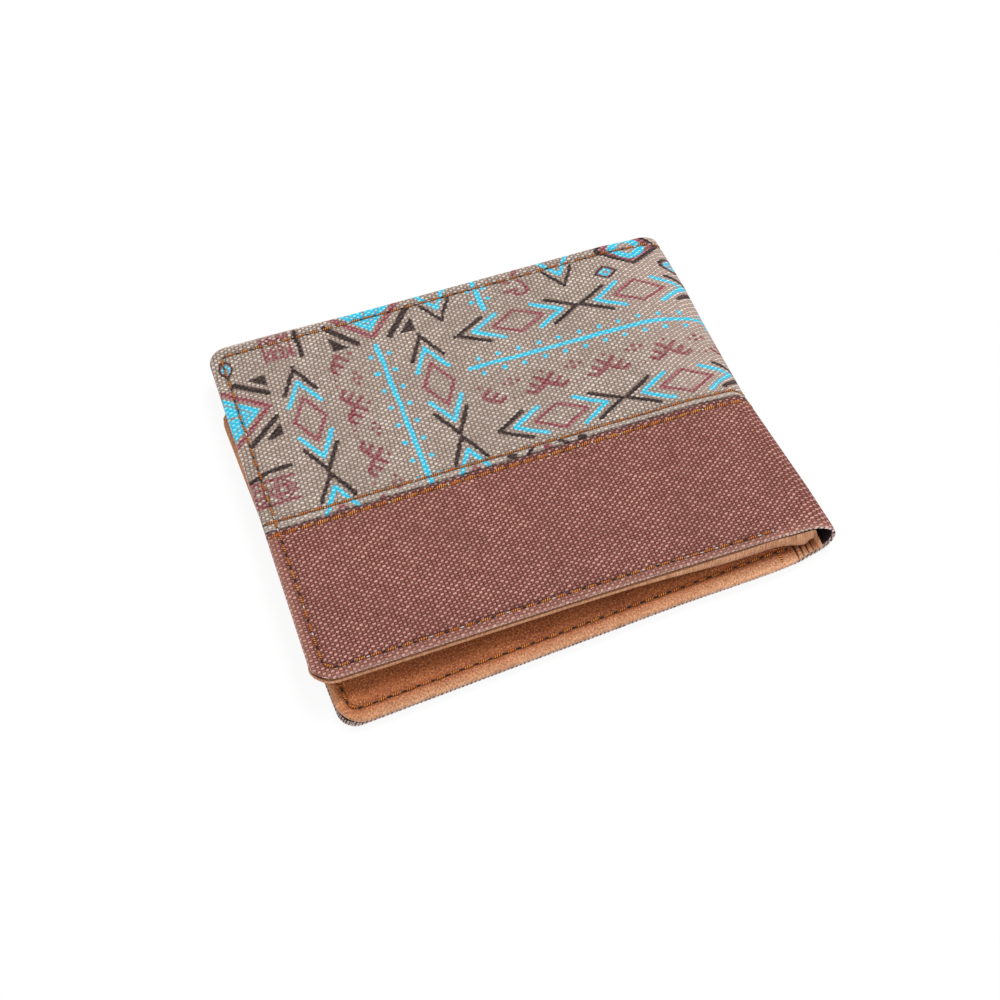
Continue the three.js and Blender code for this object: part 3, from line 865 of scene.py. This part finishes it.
def print_finish(tree):
    place, along, up, within, edge, sewn = measures(tree)
    near_fold = abs(along - 111.0).rise(20.0, 4.0)
    light, crown, chance, height, fleck, snapped = use(
        tree, weave, Place=on_the_grain(place, 0.078, 0.042), Pitch_X=0.88, Pitch_Y=0.584, Waver=0.5,
        Slant=near_fold * 0.35 + 0.1)
    snapped = snapped.vector("ADD", vector_of(up * 0.078, along * -0.042))
    blue, red, dark, fine = use(tree, ornament, Place=snapped)
    strip = up.rise(40.0, 39.4) * (light * 0.3 + 0.2)
    shadow = up.rise(38.6, 38.2) * noise(place, 1.2, 2.0).rise(0.36, 0.6) * 0.85
    return coats(
        crown.blend((118, 96, 84), (172, 151, 137)),
        (light * (chance * 0.3 + 0.62), (244, 231, 220)),
        (noise(place, 0.07, 3.0).rise(0.35, 0.7) * 0.3, (134, 115, 102)),
        (near_fold * 0.3, (206, 176, 166)),
        (strip, (216, 203, 194)),
        (dark * (chance * 0.1 + 0.88), light.blend((24, 11, 13), (72, 47, 48))),
        (red * (chance * 0.25 + 0.7), light.blend((132, 48, 62), (194, 114, 124))),
        (fine * (chance * 0.3 + 0.65), light.blend((122, 34, 50), (176, 90, 102))),
        (blue * (chance * 0.1 + 0.88), light.blend((16, 200, 242), (142, 244, 255))),
        (fleck * 0.3, (66, 52, 46)),
        (edge_wear_and_highlight(place, edge, 0.4, 0.7) * 0.4, (224, 210, 198)),
        (shadow, (70, 44, 42)),
        # painted shade in the channels of the sewing rows and in the groove of the seam
        (sewn ** 2.0 * 0.6, (60, 45, 40)),
        (within.rise(0.02, 0.2) * 0.85, rim_threads(along + up, (104, 56, 54), (255, 242, 236))),
    ), light * -0.1 + 0.86, height, 0.00022


printed_canvas = finish("printed canvas", (160, 141, 127), print_finish, 0.85, sheen=0.05, specular=0.15)

# %% [markdown]
# ## Brown canvas
# The same weave a little finer along the strip, in one brown with rosier floats. Along the bottom
# edge, outside the sewing row, it has worn paler.

# %% Finish: brown canvas
def brown_finish(tree):
    place, along, up, within, edge, sewn = measures(tree)
    light, crown, chance, height, fleck, _ = use(
        tree, weave, Place=on_the_grain(place, 0.0, 0.042), Pitch_X=0.84, Pitch_Y=0.598, Waver=0.45,
        Slant=0.15)
    folded_edge = up.rise(SEAM - 1.4, SEAM - 0.1)
    front = along.rise(105.0, 95.0)
    rim = rim_threads(along + up, front.blend((90, 38, 36), (152, 96, 84)),
                      front.blend((255, 240, 233), (244, 206, 194)))
    return coats(
        crown.blend((72, 26, 21), (148, 84, 73)),
        (light * (chance * 0.3 + 0.62), (222, 170, 158)),
        (noise(place, 0.06, 3.0).rise(0.35, 0.7) * 0.3, (112, 62, 54)),
        (fleck * 0.35, (60, 26, 22)),
        (edge_wear_and_highlight(place, edge, 3.6, 0.5) * 0.4, (206, 150, 130)),
        (edge_wear_and_highlight(place, edge, 0.9, 0.6) * (light * 0.5 + 0.25), (240, 206, 196)),
        (folded_edge * (1.0 - light) * 0.55, (58, 24, 22)),
        # painted shade in the channels of the sewing rows and in the groove of the seam
        (sewn ** 2.0 * 0.6, (52, 24, 20)),
        (within.rise(0.02, 0.2) * 0.85, rim),
    ), light * -0.1 + 0.84, height, 0.00022


brown_canvas = finish("brown canvas", (132, 82, 74), brown_finish, 0.85, sheen=0.05, specular=0.15)

# %% [markdown]
# ## Lining
# A close black twill, with a little reddish fluff. Its ribs run at 45 degrees: a cosine of x + y.

# %% Finish: lining
def lining_finish(tree):
    place = attribute(tree, "cloth")
    x, y, _ = place.parts()
    ribs = ((x + y) * 9.0).cosine() * 0.5 + 0.5
    dust = noise(place, 0.8, 4.0)
    base = (ribs * 0.5).blend((6, 3, 3), (22, 12, 11))
    base = dust.rise(0.52, 0.72).blend(base, (62, 24, 20))
    return base, dust * 0.2 + 0.6, ribs + dust * 0.4, 0.00005


black_lining = finish("black lining", (24, 19, 18), lining_finish, 0.8, sheen=0.0, specular=0.15)

# %% [markdown]
# ## Leather
# Soft tan leather with a nap. Three sizes of unevenness make it: clouds of some millimetres, a
# mottle of half a millimetre, and a fine nap that is drawn out in one direction. Where it is
# stretched over the edge it is paler, partly worn and partly painted highlight where the rolled
# border catches the light, and painted shade darkens its creases and its sewing row.

# %% Finish: leather
def leather_finish(tree):
    place, x, y, _, edge, sewn = measures(tree)
    clouds, mottle = noise(place, 0.12, 3.0), noise(place, 1.3, 4.0, 0.7)
    nap = noise(vector_of(x * 2.8, y * 2.3), 1.0, 4.0, 0.75)
    pores = place.make("TexVoronoi", {"Vector": place, "Scale": 2.6}, "Distance")
    base = coats(
        clouds.rise(0.3, 0.7).blend((150, 72, 28), (178, 98, 48)),
        (mottle.rise(0.44, 0.66) * 0.9, (120, 54, 22)),
        (nap.rise(0.51, 0.64) * 0.75, (222, 156, 104)),
        (nap.rise(0.48, 0.35) * 0.75, (88, 38, 14)),
        # paler border: partly edge wear, partly painted highlight where the rolled border catches the light
        (edge_wear_and_highlight(place, edge, 2.6, 0.5) * 0.78, nap.rise(0.4, 0.6).blend((196, 130, 86), (248, 200, 160))),
        # painted shade in the channel of the sewing row and in the creases of the pleats
        (sewn ** 2.0 * 0.6, (62, 28, 14)))
    height = nap * 0.7 + mottle * 0.8 + pores.rise(0.0, 0.35) * 0.25
    return base, mottle * 0.15 + 0.58, height, 0.00012


tan_leather = finish("tan leather", (172, 110, 68), leather_finish, 0.62, sheen=0.15, specular=0.3)

# %% [markdown]
# ## Thread
# Two plies twisted together. Each stitch carries its own measure: length along it, the angle round
# it, how much painted shade darkens its needle holes and whether the bobbin thread there is pale. The
# plies are a sine of length plus angle, as bump, with painted shade between them and a painted
# highlight on their crowns.

# %% Finish: thread
TWIST = 0.5               # length of one turn of the plies


def thread_finish(tree):
    along, around, chance = attribute(tree, "strand").parts()
    hole, pale = attribute(tree, "hole", "Fac"), attribute(tree, "pale", "Fac")
    ply = (along * (2 * np.pi / TWIST) + around * (2 * np.pi)).cosine() * 0.5 + 0.5
    base = coats(
        # painted shade in the grooves between the plies
        ply.rise(0.12, 0.7).blend((70, 28, 8), (206, 112, 34)),
        # painted highlight on the crowns of the plies
        (ply.rise(0.6, 1.0) * chance * 0.6, (246, 182, 88)),
        # painted shade of the needle holes, on the knots and the stitches' ends
        (hole, (30, 18, 15)),
        (pale, (232, 222, 216)))
    return base, ply * -0.1 + 0.55, ply, 0.00012


orange_thread = finish("orange thread", (180, 90, 30), thread_finish, 0.5, sheen=0.03, specular=0.25)

# %% [markdown]
# ## Shell canvases
# Each canvas is three pieces that meet without a gap: the part on the back leaf, the part round the
# spine and the part on the front leaf. The wallet opens by two turns, one on each side of the spine,
# and the cuts lie round the spine between them. The spine's piece lies sheared where the front slips
# along the fold. Each piece is baked where it lies; nothing here bends it.

# %% Bake the pieces in place
HINGE_START = -4.2            # where a sheet starts to bend, in front of the outside of the spine
bodies = {BACK: ("back_leaf", "spine_back"), FRONT: ("front_leaf", "spine_front")}


def bend_leaf(piece, side, cut, start=None):
    """Bakes a leaf's piece where it lies. A start and the sheet's cut, each given as (n, z), are worked
    out as points beside the fold but bend nothing. Unless it is given, the start lies on the outer face
    beside the hinge line."""
    start = start or (HINGE_START, 0.0 if side < 0 else TOTAL)
    start, stop = fold_spot(*start), fold_spot(*cut)
    if side < 0:
        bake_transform(piece)
        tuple(start)
    else:
        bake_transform(piece)
        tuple(start)


def bend_spine(piece, slip):
    fold_spot(0, slip[0])
    fold_spot(0, slip[1])
    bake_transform(piece)


def cut_spot(side, depth, turn):
    """(n, z) of a point at a depth and a turn round the spine."""
    t = LEAF_HEIGHT / 2
    point = folded(side, x_of_turn(side, t, turn), t, depth)
    return (point[:2] - fold_middle) @ outwards, point[2]


# %% Build the canvases
CANVAS, CUT_TURN, RIM = 0.6, 60, 0.06      # thickness, angle of the cuts, swelling of a cut edge
EXTRA = 0.3               # how far the back canvas reaches below the front one at the bottom edge
EXTRA_SPINE = 0.55        # and how much further close to the spine
RAISED = 0.45             # how far the front's top edge stands up at its free end
CANVAS_CORNER = {"print": 4.5, "brown": 5.3}      # radius of the front's free corners
canvas_columns = lines((0, 1.2, 0.2), (1.2, 5, 0.36), (5, 99, 0.56), (99, 112.3, 0.38))
canvas_heights = {
    "print": lines((SEAM + 0.04, SEAM + 0.6, 0.14), (SEAM + 0.6, 42, 0.27), (42, 84, 0.58),
                   (84, 89, 0.3), (89, LEAF_HEIGHT, 0.12)),
    "brown": lines((0, 0.6, 0.1), (0.6, 4.5, 0.28), (4.5, 36, 0.56), (36, SEAM - 0.6, 0.25),
                   (SEAM - 0.6, SEAM - 0.04, 0.14)),
}
canvas_finish = {"print": printed_canvas, "brown": brown_canvas}


def canvas_faces(side, x, t):
    relief = both(shell_relief, side, x, t)
    return relief, CANVAS + relief * 0.45


def canvas_fit(side, x, t):
    """The canvas's outline: the back leaf's bottom edge lies further out than the front leaf's, and
    round the spine it comes back in; the free edge is tucked in where the front hangs over it."""
    more = EXTRA * fade(x, 96, 108) + EXTRA_SPINE * ease(x, 70, 97) * fade(x, 101, 108.5)
    raised = RAISED * (side > 0) * ease(t, 78, LEAF_HEIGHT) * fade(x, 12, 40)
    return tucked(side, x, t, 38), t - more * (side < 0) * fade(t, 0, 6) + raised + lifted(side, x, t)


def dress(piece, material, slot, *nodes):
    piece.data.materials.append(material)
    if nodes:
        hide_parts(*nodes)


def declare(x, strip):
    """Works out how wide the leaf's part of a sheet was cut, and keeps nothing of it.
    strip, the strip round the spine, is not used."""
    width = (x[:, -1] - x[:, 0]).mean()
    width / 1000


def long_sheet(name, look, node, grid, steps, faces, fit, rim, depth, corner=CORNER, **rounds):
    """The three pieces of a sheet. look is (material, slot), node the end of the solids' names, grid
    (heights, inset, turn of the cuts, columns) and depth that of the sheet's inner face."""
    heights, turn = grid[0], grid[2]
    side, x, t = spine_grid(heights, turn, steps)
    strip = closed_sheet(f"spine_{name}", side, x, t, *faces(side, x, t), rim, open_left=True)
    dress(strip, *look, f"spine_back_{node}", f"spine_front_{node}")
    bend_spine(strip, SHELL_SLIP)
    corners = {BACK: CORNER, FRONT: corner}
    for side, leaf in leaf_names.items():
        x, t = fit(side, *leaf_grid(side, *grid, corner=corners[side], **rounds))
        piece = closed_sheet(f"{leaf}_{name}", side, x, t, *faces(side, x, t), rim)
        dress(piece, *look, f"{leaf}_{node}")
        bend_leaf(piece, side, cut_spot(side, depth, turn))
        declare(x, strip if side > 0 else None)
        print(piece.name, len(piece.data.polygons), "faces")


for cloth, heights in canvas_heights.items():
    long_sheet(f"{cloth}_cloth", (canvas_finish[cloth], f"{cloth}_canvas"), f"{cloth}_canvas",
               (heights, 0.0, CUT_TURN, canvas_columns), 17, canvas_faces, canvas_fit, RIM, CANVAS,
               CANVAS_CORNER[cloth], round_bottom=cloth == "brown", round_top=cloth == "print")

# %% [markdown]
# ## Lining and bill divider
# Two black cloths, as long as the shell. They show at the top edge, where bills go in, and at the
# bottom end of the spine, where nothing is sewn and one looks into the hollow of the fold.

# %% Build the black cloths
CLOTH, CLOTH_INSET, CLOTH_RIM = 0.3, 0.6, 0.05      # thickness, inset, swelling of a cut edge
cloth_columns = lines((0, 4, 0.5), (4, 98, 1.6), (98, 111, 0.6))
cloth_heights = lines((CLOTH_INSET, 4.5, 0.4), (4.5, 85, 2.0), (85, LEAF_HEIGHT - CLOTH_INSET, 0.5))


def cloth_sag(side, x, t):
    return 0.06 * waves(x, t, 31 + int(side), 16) * fade(x, 92, 104)


def cloth_faces(depth):
    """Both faces of a cloth at a depth, as a function of the grid."""
    def faces(side, x, t):
        sag = both(cloth_sag, side, x, t)
        return thinned(x, t, depth) + sag, thinned(x, t, depth + CLOTH) + sag
    return faces


def cloth_fit(side, x, t):
    return tucked(side, x, t), t + lifted(side, x, t)


for cloth, depth, turn, node in (("lining", 0.65, 60, "shell_lining"), ("divider", 1.0, 54, "bill_divider")):
    long_sheet(cloth, (black_lining, "lining"), node, (cloth_heights, CLOTH_INSET, turn, cloth_columns), 11,
               cloth_faces(depth), cloth_fit, CLOTH_RIM, depth + CLOTH)

# %% [markdown]
# ## Leather panel
# One long piece of leather lines the inside. Round the fold it stays back from the spine and
# gathers in small pleats, which leaves the dark hollow at the bottom end.

# %% Build the leather panel
PANEL_DEPTH, LEATHER = 1.35, 0.7              # depth of the outer face, and thickness
PANEL_INSET, LEATHER_TURN = 0.2, 30           # from the edge, and the angle of the cuts
PANEL_CORNER = {BACK: 5.6, FRONT: 5.1}        # radius of its free corners
PANEL_RIM = {BACK: RIM, FRONT: 0.2}           # how far its cut edge swells out
PANEL_OVER = 0.45                 # how far the front panel shows beyond the shell's edge
HEM = 2.3                         # how much deeper the front panel's turned-up bottom edge hangs
PANEL_LOW = (0.4, 1.15)           # how far the back panel shows below, at its middle and at the spine
PANEL_OUT = 0.4                   # and at its free edge, between the seam and the tucked part
PANEL_BEND = (-4.9, -3.12)        # where the leather starts and stops bending, before the spine
panel_columns = lines((0, 1.5, 0.25), (1.5, 5, 0.4), (5, 96, 0.9), (96, 99.5, 0.3), (99.5, 108.3, 0.15))
panel_heights = lines((PANEL_INSET, 1.2, 0.14), (1.2, 6, 0.33), (6, 20, 0.5), (20, 80, 1.6), (80, 86, 0.8),
                      (86, LEAF_HEIGHT - PANEL_INSET, 0.3))


def panel_faces(side, x, t):
    """Outer and inner depth. The front panel's bottom edge is turned up and hangs deeper towards the
    fold, where that ends. Beside the fold the inner face is pleated."""
    relief = both(leather_relief, side, x, t)
    hem = HEM * (np.asarray(side) > 0) * ease(x, 60, 100) * fade(t, 0.6, 3.4)
    hem = hem * (1 - 0.35 * ease(x, 100, 105)) * fade(x, lengths[FRONT] - 5.0, lengths[FRONT] - 2.5)
    gathers = both(pleats, side, x, t)
    return (thinned(x, t, PANEL_DEPTH) - 0.8 * relief,
            thinned(x, t, PANEL_DEPTH + LEATHER) - relief + hem - gathers)


def panel_fit(side, x, t):
    """The panel's outline: in front it shows beyond the shell at the free edge and the bottom, up
    to the fold; in the back it shows below, more towards the fold, and a little at the free edge."""
    edge = inside(x, t, top=OPEN_TOP)
    over = PANEL_OVER * (side > 0) * fade(edge, 0.2, 3.0) * fade(x, 88, 100)
    over = over * fade(t, 2.5, 7.0)
    by_edge = ease(t - x, -2.5, 2.5)
    low = np.interp(ease(x, 70, 98), (0, 1), PANEL_LOW) * (side < 0)
    low = low * fade(t, 0, 5) * fade(x, 99, 107.1)
    out = PANEL_OUT * (side < 0) * ease(t, 42, 52) * fade(t, 79.5, 82) * fade(x, 0, 8)
    lift = lifted(side, x, t, PANEL_LIFT)
    return tucked(side, x - over * by_edge - out, t), t - over * (1 - by_edge) - low + lift


for side, name in leaf_names.items():
    x, t = panel_fit(side, *leaf_grid(side, panel_heights, PANEL_INSET, LEATHER_TURN, panel_columns,
                                      corner=PANEL_CORNER[side]))
    piece = closed_sheet(f"{name}_panel", side, x, t, *panel_faces(side, x, t), PANEL_RIM[side], leather=True)
    dress(piece, tan_leather, "leather", f"{name}_leather_panel")
    start, stop = ((n, RADIUS) for n in PANEL_BEND)
    bend_leaf(piece, side, stop, start)
side, x, t = spine_grid(panel_heights, LEATHER_TURN, 25)
piece = closed_sheet("spine_panel", side, x, t, *panel_faces(side, x, t), PANEL_RIM[FRONT], leather=True,
                     open_left=True)
dress(piece, tan_leather, "leather", "spine_back_fold_leather", "spine_front_fold_leather")
bend_spine(piece, LEATHER_SLIP)

# %% [markdown]
# ## Card pockets
# Four pockets a side, of thinner leather. Each is as deep as the others and lies a step lower, so
# going down a leaf the surface climbs one layer at every mouth and comes down one layer wherever a
# pocket ends. A mouth is a turned edge with a pressed line below it.

# %% Build the card pockets
POCKET, LAYER, FIRST_POCKET = 0.3, 0.35, 2.1        # thickness, step between layers, first depth
POCKETS, MOUTH, PITCH, POCKET_DEEP = 4, LEAF_HEIGHT - 8, 9.0, 54.8      # count, first mouth, step, depth
POCKET_INSET, POCKET_STOP = 0.2, {BACK: 10.9, FRONT: 12.5}      # from the edge, and before the spine
mouths = MOUTH - PITCH * np.arange(POCKETS)
bottoms = np.maximum(mouths - POCKET_DEEP, PANEL_INSET)


def pocket_end(side, t):
    """x at which the pockets end, before the fold."""
    return outside(side, t) - POCKET_STOP[side]


def layers_under(t, behind):
    """How many of the pockets behind lie under a point: 1 for each whose bottom is below it."""
    return sum((ease(t, b - 1.0, b - 0.1) for b in bottoms[:behind]), np.zeros_like(t, float))


def top_of_leather(x, t, spine_side):
    """Depth of the leather's inner face: the panel's, and the pockets' where they cover it."""
    covered = sum(ease(t, b - 0.4, b) * fade(t, m - 0.1, m + 0.1) for b, m in zip(bottoms, mouths))
    return PANEL_DEPTH + LEATHER + LAYER * covered * fade(x, spine_side - 0.1, spine_side + 0.1)


for side, name in leaf_names.items():
    for k, (bottom, mouth) in enumerate(zip(bottoms, mouths)):
        heights = lines((bottom, bottom + 2.5, 0.3), (bottom + 2.5, bottom + 28, 0.5),
                        (bottom + 28, mouth - 3, 1.2), (mouth - 3, mouth, 0.16))
        pocket_columns = lines((0, 1.5, 0.25), (1.5, 5, 0.4), (5, 93, 1.0), (93, 98, 0.3))
        x, t = panel_fit(side, *leaf_grid(
            side, heights, POCKET_INSET, -POCKET_STOP[side], pocket_columns,
            round_bottom=k == POCKETS - 1, round_top=False, corner=PANEL_CORNER[side]))
        press = 0.1 * bell(t - (mouth - 1.5), 0.22)
        lip = 0.05 * bell(t - mouth + 0.35, 0.4) * (k < POCKETS - 1)
        under = LAYER * layers_under(t, k)
        relief = leather_relief(side, x, t)
        outer = thinned(x, t, FIRST_POCKET + under) - relief
        inner = thinned(x, t, FIRST_POCKET + under + POCKET) - relief - press + lip
        piece = closed_sheet(f"{name}_pocket_{k + 1}", side, x, t, outer, inner, CLOTH_RIM, leather=True,
                             open_right=False)
        dress(piece, tan_leather, "leather", f"{name}_card_pocket_{k + 1}")
        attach(piece, bodies[side][0])
print("mouths at", mouths, "bottoms at", bottoms)

# %% [markdown]
# ## Stitches
# Each stitch is modelled: a short twisted cord that rises out of one needle hole and goes down into
# the next. A curve with a bevel would make hundreds of objects, so all stitches of a row are one
# array, swept along the row at once. Where the bobbin thread shows in a hole there is a small knot.

# %% Sweep the stitches
RINGS, AROUND = 9, 6                          # rings of a stitch, and points of a ring
THREAD_WIDE, THREAD_HIGH = 0.27, 0.2          # half width and half height
rng = np.random.default_rng(4)


def stitches(name, row, surface, wanted, look):
    """Ring r of a stitch lies at share a of its length, with radius (sin pi a)^0.45 and sunk by
    (2a - 1)^4 towards the holes. The knots are the same shape. surface(x, t) is the height of the
    face that is sewn, the sign of the way in and whether it is leather's."""
    gap, dark, pale, slant, wide, knot_length, sink = look
    k = np.arange(row.count)[wanted]
    share = np.linspace(0.02, 0.98, RINGS)
    turn = np.arange(AROUND) * 2 * np.pi / AROUND
    jitter = rng.uniform(-1, 1, (row.count, 4))[k]
    starts = np.r_[k * row.pitch + gap, k * row.pitch - knot_length / 2]
    sizes = np.r_[np.full(len(k), row.pitch - 2 * gap), np.full(len(k), knot_length)]
    knot = np.r_[np.zeros(len(k)), np.ones(len(k))][:, None, None]
    jitter = np.vstack([jitter, jitter])
    s = starts[:, None] + sizes[:, None] * share
    spot, ahead, back = row.at(s), row.at(s + 0.05), row.at(s - 0.05)
    run = (ahead - back) / np.maximum(np.linalg.norm(ahead - back, axis=-1, keepdims=True), 1e-9)
    swell = np.sin(np.pi * share)[:, None] ** 0.45 * (1 - 0.4 * knot)
    lean = 2 * slant * (share[:, None] - 0.5) * (1 - knot) + 0.05 * jitter[:, :1, None]
    across = THREAD_WIDE * wide * swell * (1 + 0.1 * jitter[:, 1:2, None]) * np.cos(turn) + lean
    x = spot[..., :1] - run[..., 1:] * across
    t = spot[..., 1:] + run[..., :1] * across
    dive = np.abs(2 * share[:, None] - 1) ** 4 * sink * (1 - knot) + (sink * 0.55 - THREAD_HIGH * pale) * knot
    height, inwards, leather = surface(spot[..., 0], spot[..., 1])
    rise = THREAD_HIGH * (0.6 + 0.4 * wide)
    depth = height[..., None] + inwards * (dive - rise * swell * np.sin(turn))
    points = folded(row.side, x.ravel(), t.ravel(), depth.ravel(), leather=leather)
    ring = np.arange(RINGS * AROUND).reshape(RINGS, AROUND)
    a, b = ring[:-1], ring[1:]
    walls = np.stack([a, np.roll(a, -1, 1), np.roll(b, -1, 1), b], -1).reshape(-1, 4)
    first, last = ring[0], ring[-1]
    caps = np.array([first[[0, 5, 4, 3]], first[[0, 3, 2, 1]], last[[0, 1, 2, 3]], last[[0, 3, 4, 5]]])
    one = np.vstack([walls, caps])
    faces = (one + (np.arange(len(starts)) * RINGS * AROUND)[:, None, None]).reshape(-1, 4)
    strand = np.stack([np.broadcast_to(v, x.shape) for v in (
        s[..., None], turn / (2 * np.pi), 0.5 + 0.5 * jitter[:, 2:3, None])], -1)
    # mask of painted shade where a stitch goes down into its hole, and on the knots in the holes
    ends = np.broadcast_to(np.maximum(knot, (np.abs(2 * share[:, None] - 1) > 0.93) * 0.8), x.shape)
    light_knot = knot * (0.5 + 0.5 * jitter[:, 3:, None] < pale)
    piece = make_mesh(name, points, faces, {
        "strand": strand.reshape(-1, 3), "hole": (ends * dark).ravel(),
        "pale": np.broadcast_to(light_knot, x.shape).ravel() * 0.85})
    dress(piece, orange_thread, "thread")
    return piece


# %% Sew the rows
def turned(side, x, t):
    """Angle round the spine, in degrees."""
    return np.degrees((x - flat_end(side, t)) * COS / RADIUS)


def on_canvas(x, t):
    """The thread lies in its channel, its crown just above the cloth round it, whatever the height."""
    return np.full(np.shape(x), 0.1), 1.0, False


# Of each row: gap before a stitch, how much shade is painted on the knots and stitch ends in the holes,
# the share of pale knots, how far a stitch slants, its width, the length of a knot, and how deep a stitch's
# ends go down.
looks = {
    "edge":       (0.27, 1.0, 0.35, 0.06, 0.95, 0.85, 0.34),
    "print_seam": (0.08, 0.6, 0.1, 0.12, 1.0, 0.42, 0.34),
    "brown_seam": (0.04, 0.5, 0.3, 0.16, 1.4, 0.42, 0.34),
    "panel":      (0.34, 1.0, 0.0, 0.1, 1.1, 1.0, 0.34),
    "pocket":     (0.34, 1.0, 0.0, 0.1, 1.1, 1.0, 0.1),
}
for seam in ("edge", "print_seam", "brown_seam"):
    for side, name in leaf_names.items():
        row = rows[name, seam]
        middles = row.at((np.arange(row.count) + 0.5) * row.pitch)
        on_spine = turned(side, *middles.T) > CUT_TURN
        piece = stitches(f"{name}_{seam}_stitches", row, on_canvas, ~on_spine, looks[seam])
        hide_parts(f"{name}_{seam}_thread")
        bend_leaf(piece, side, cut_spot(side, CANVAS, CUT_TURN))
        piece = stitches(f"spine_{name}_{seam}_stitches", row, on_canvas, on_spine, looks[seam])
        bend_spine(piece, SHELL_SLIP)


def on_leather(side, in_channel=True):
    """The face of the panel or the pockets, with the row's channel or the face's own relief."""
    def surface(x, t):
        height = thinned(x, t, top_of_leather(x, t, pocket_end(side, t)))
        return height - (0.02 if in_channel else leather_relief(side, x, t) - 0.05), -1.0, True
    return surface


POCKET_ROW_START = {BACK: -0.75, FRONT: 0.4}  # height of the pocket row's lower end
for side, name in leaf_names.items():
    row = Row(side, [(pocket_end(side, t) - 0.4, t) for t in (POCKET_ROW_START[side], mouths[0] - 0.8)],
              LEATHER_PITCH)
    for kind, row, in_channel in (("panel", rows[name, "panel"], True), ("pocket", row, False)):
        face = on_leather(side, in_channel)
        piece = stitches(f"{name}_{kind}_stitches", row, face, slice(None), looks[kind])
        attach(piece, bodies[side][0])

# %% [markdown]
# ## Floor, light and camera
# A white floor and soft light from all round, with one large lamp from behind on the right, so that
# the weave and the seams show. A colour renders about as it is written. The floor is partly white
# by itself for the camera, so that it stays white and keeps a faint shadow.

# %% Stage and light
def seen_by(tree, *kinds):
    """1 for a ray of one of these kinds, 0 for any other."""
    path = make_node(tree, "LightPath", {})
    first, *others = (Field(tree, path.outputs[f"Is {kind} Ray"]) for kind in kinds)
    for other in others:
        first = first.most(other)
    return first


def stage_floor(size=4.0):
    mesh = bpy.data.meshes.new("floor")
    corners = [(-size, -size, 0), (size, -size, 0), (size, size, 0), (-size, size, 0)]
    mesh.from_pydata(corners, [], [(0, 1, 2, 3)])
    floor = in_scene("floor", mesh)
    material = bpy.data.materials.new("white floor")
    material.use_nodes = True
    tree = material.node_tree
    tree.nodes.clear()
    plain = make_node(tree, "BsdfDiffuse", {"Color": (0.9, 0.9, 0.9, 1.0)})
    glow = make_node(tree, "Emission", {"Color": (1, 1, 1, 1), "Strength": 1.0})
    mix = make_node(tree, "MixShader", {0: seen_by(tree, "Camera", "Glossy", "Transmission") * 0.9})
    tree.links.new(plain.outputs[0], mix.inputs[1])
    tree.links.new(glow.outputs[0], mix.inputs[2])
    out = make_node(tree, "OutputMaterial", {})
    tree.links.new(mix.outputs[0], out.inputs["Surface"])
    mesh.materials.append(material)


def light_world(ambient):
    world = bpy.data.worlds.new("studio")
    bpy.context.scene.world = world
    world.use_nodes = True
    tree = world.node_tree
    strength = seen_by(tree, "Camera", "Glossy").choose(ambient, 1.0)
    tree.links.new(strength.socket, tree.nodes["Background"].inputs["Strength"])
    tree.nodes["Background"].inputs["Color"].default_value = (1, 1, 1, 1)


def lamp(name, spot, size, power):
    """An area lamp at a spot in metres that faces the wallet."""
    data = bpy.data.lights.new(name, "AREA")
    data.energy, data.shape, data.size = power, "DISK", size
    light = in_scene(name, data)
    light.location = spot
    light.rotation_euler = (-Vector(spot)).to_track_quat("-Z", "Y").to_euler()


stage_floor()
light_world(0.55)
lamp("key", (0.45, 0.55, 0.9), 0.5, 10.0)
lamp("fill", (-0.6, -0.7, 0.8), 0.8, 3.0)

# %% Camera
LOOK_AT = (-0.00485, -0.00996, 0.0)
AZIMUTH, ELEVATION, CAMERA_ROLL = np.radians((-22.9, 56.5, 0.18))
DISTANCE, LENS = 0.3155, 51.8


def place_camera():
    """The camera stands off by distance times (sin az cos el, -cos az cos el, sin el)."""
    flat = np.cos(ELEVATION)
    away = Vector((np.sin(AZIMUTH) * flat, -np.cos(AZIMUTH) * flat, np.sin(ELEVATION)))
    data = bpy.data.cameras.new("camera")
    data.lens, data.sensor_width, data.clip_start = LENS, 36.0, 0.01
    camera = in_scene("camera", data)
    turned_to = (-away).to_track_quat("-Z", "Y").to_matrix().to_4x4()
    camera.matrix_world = (Matrix.Translation(Vector(LOOK_AT) + DISTANCE * away) @ turned_to
                           @ Matrix.Rotation(CAMERA_ROLL, 4, "Z"))
    bpy.context.scene.camera = camera


place_camera()
bpy.context.scene.view_settings.view_transform = "Standard"

# %% The end
bpy.context.view_layer.update()
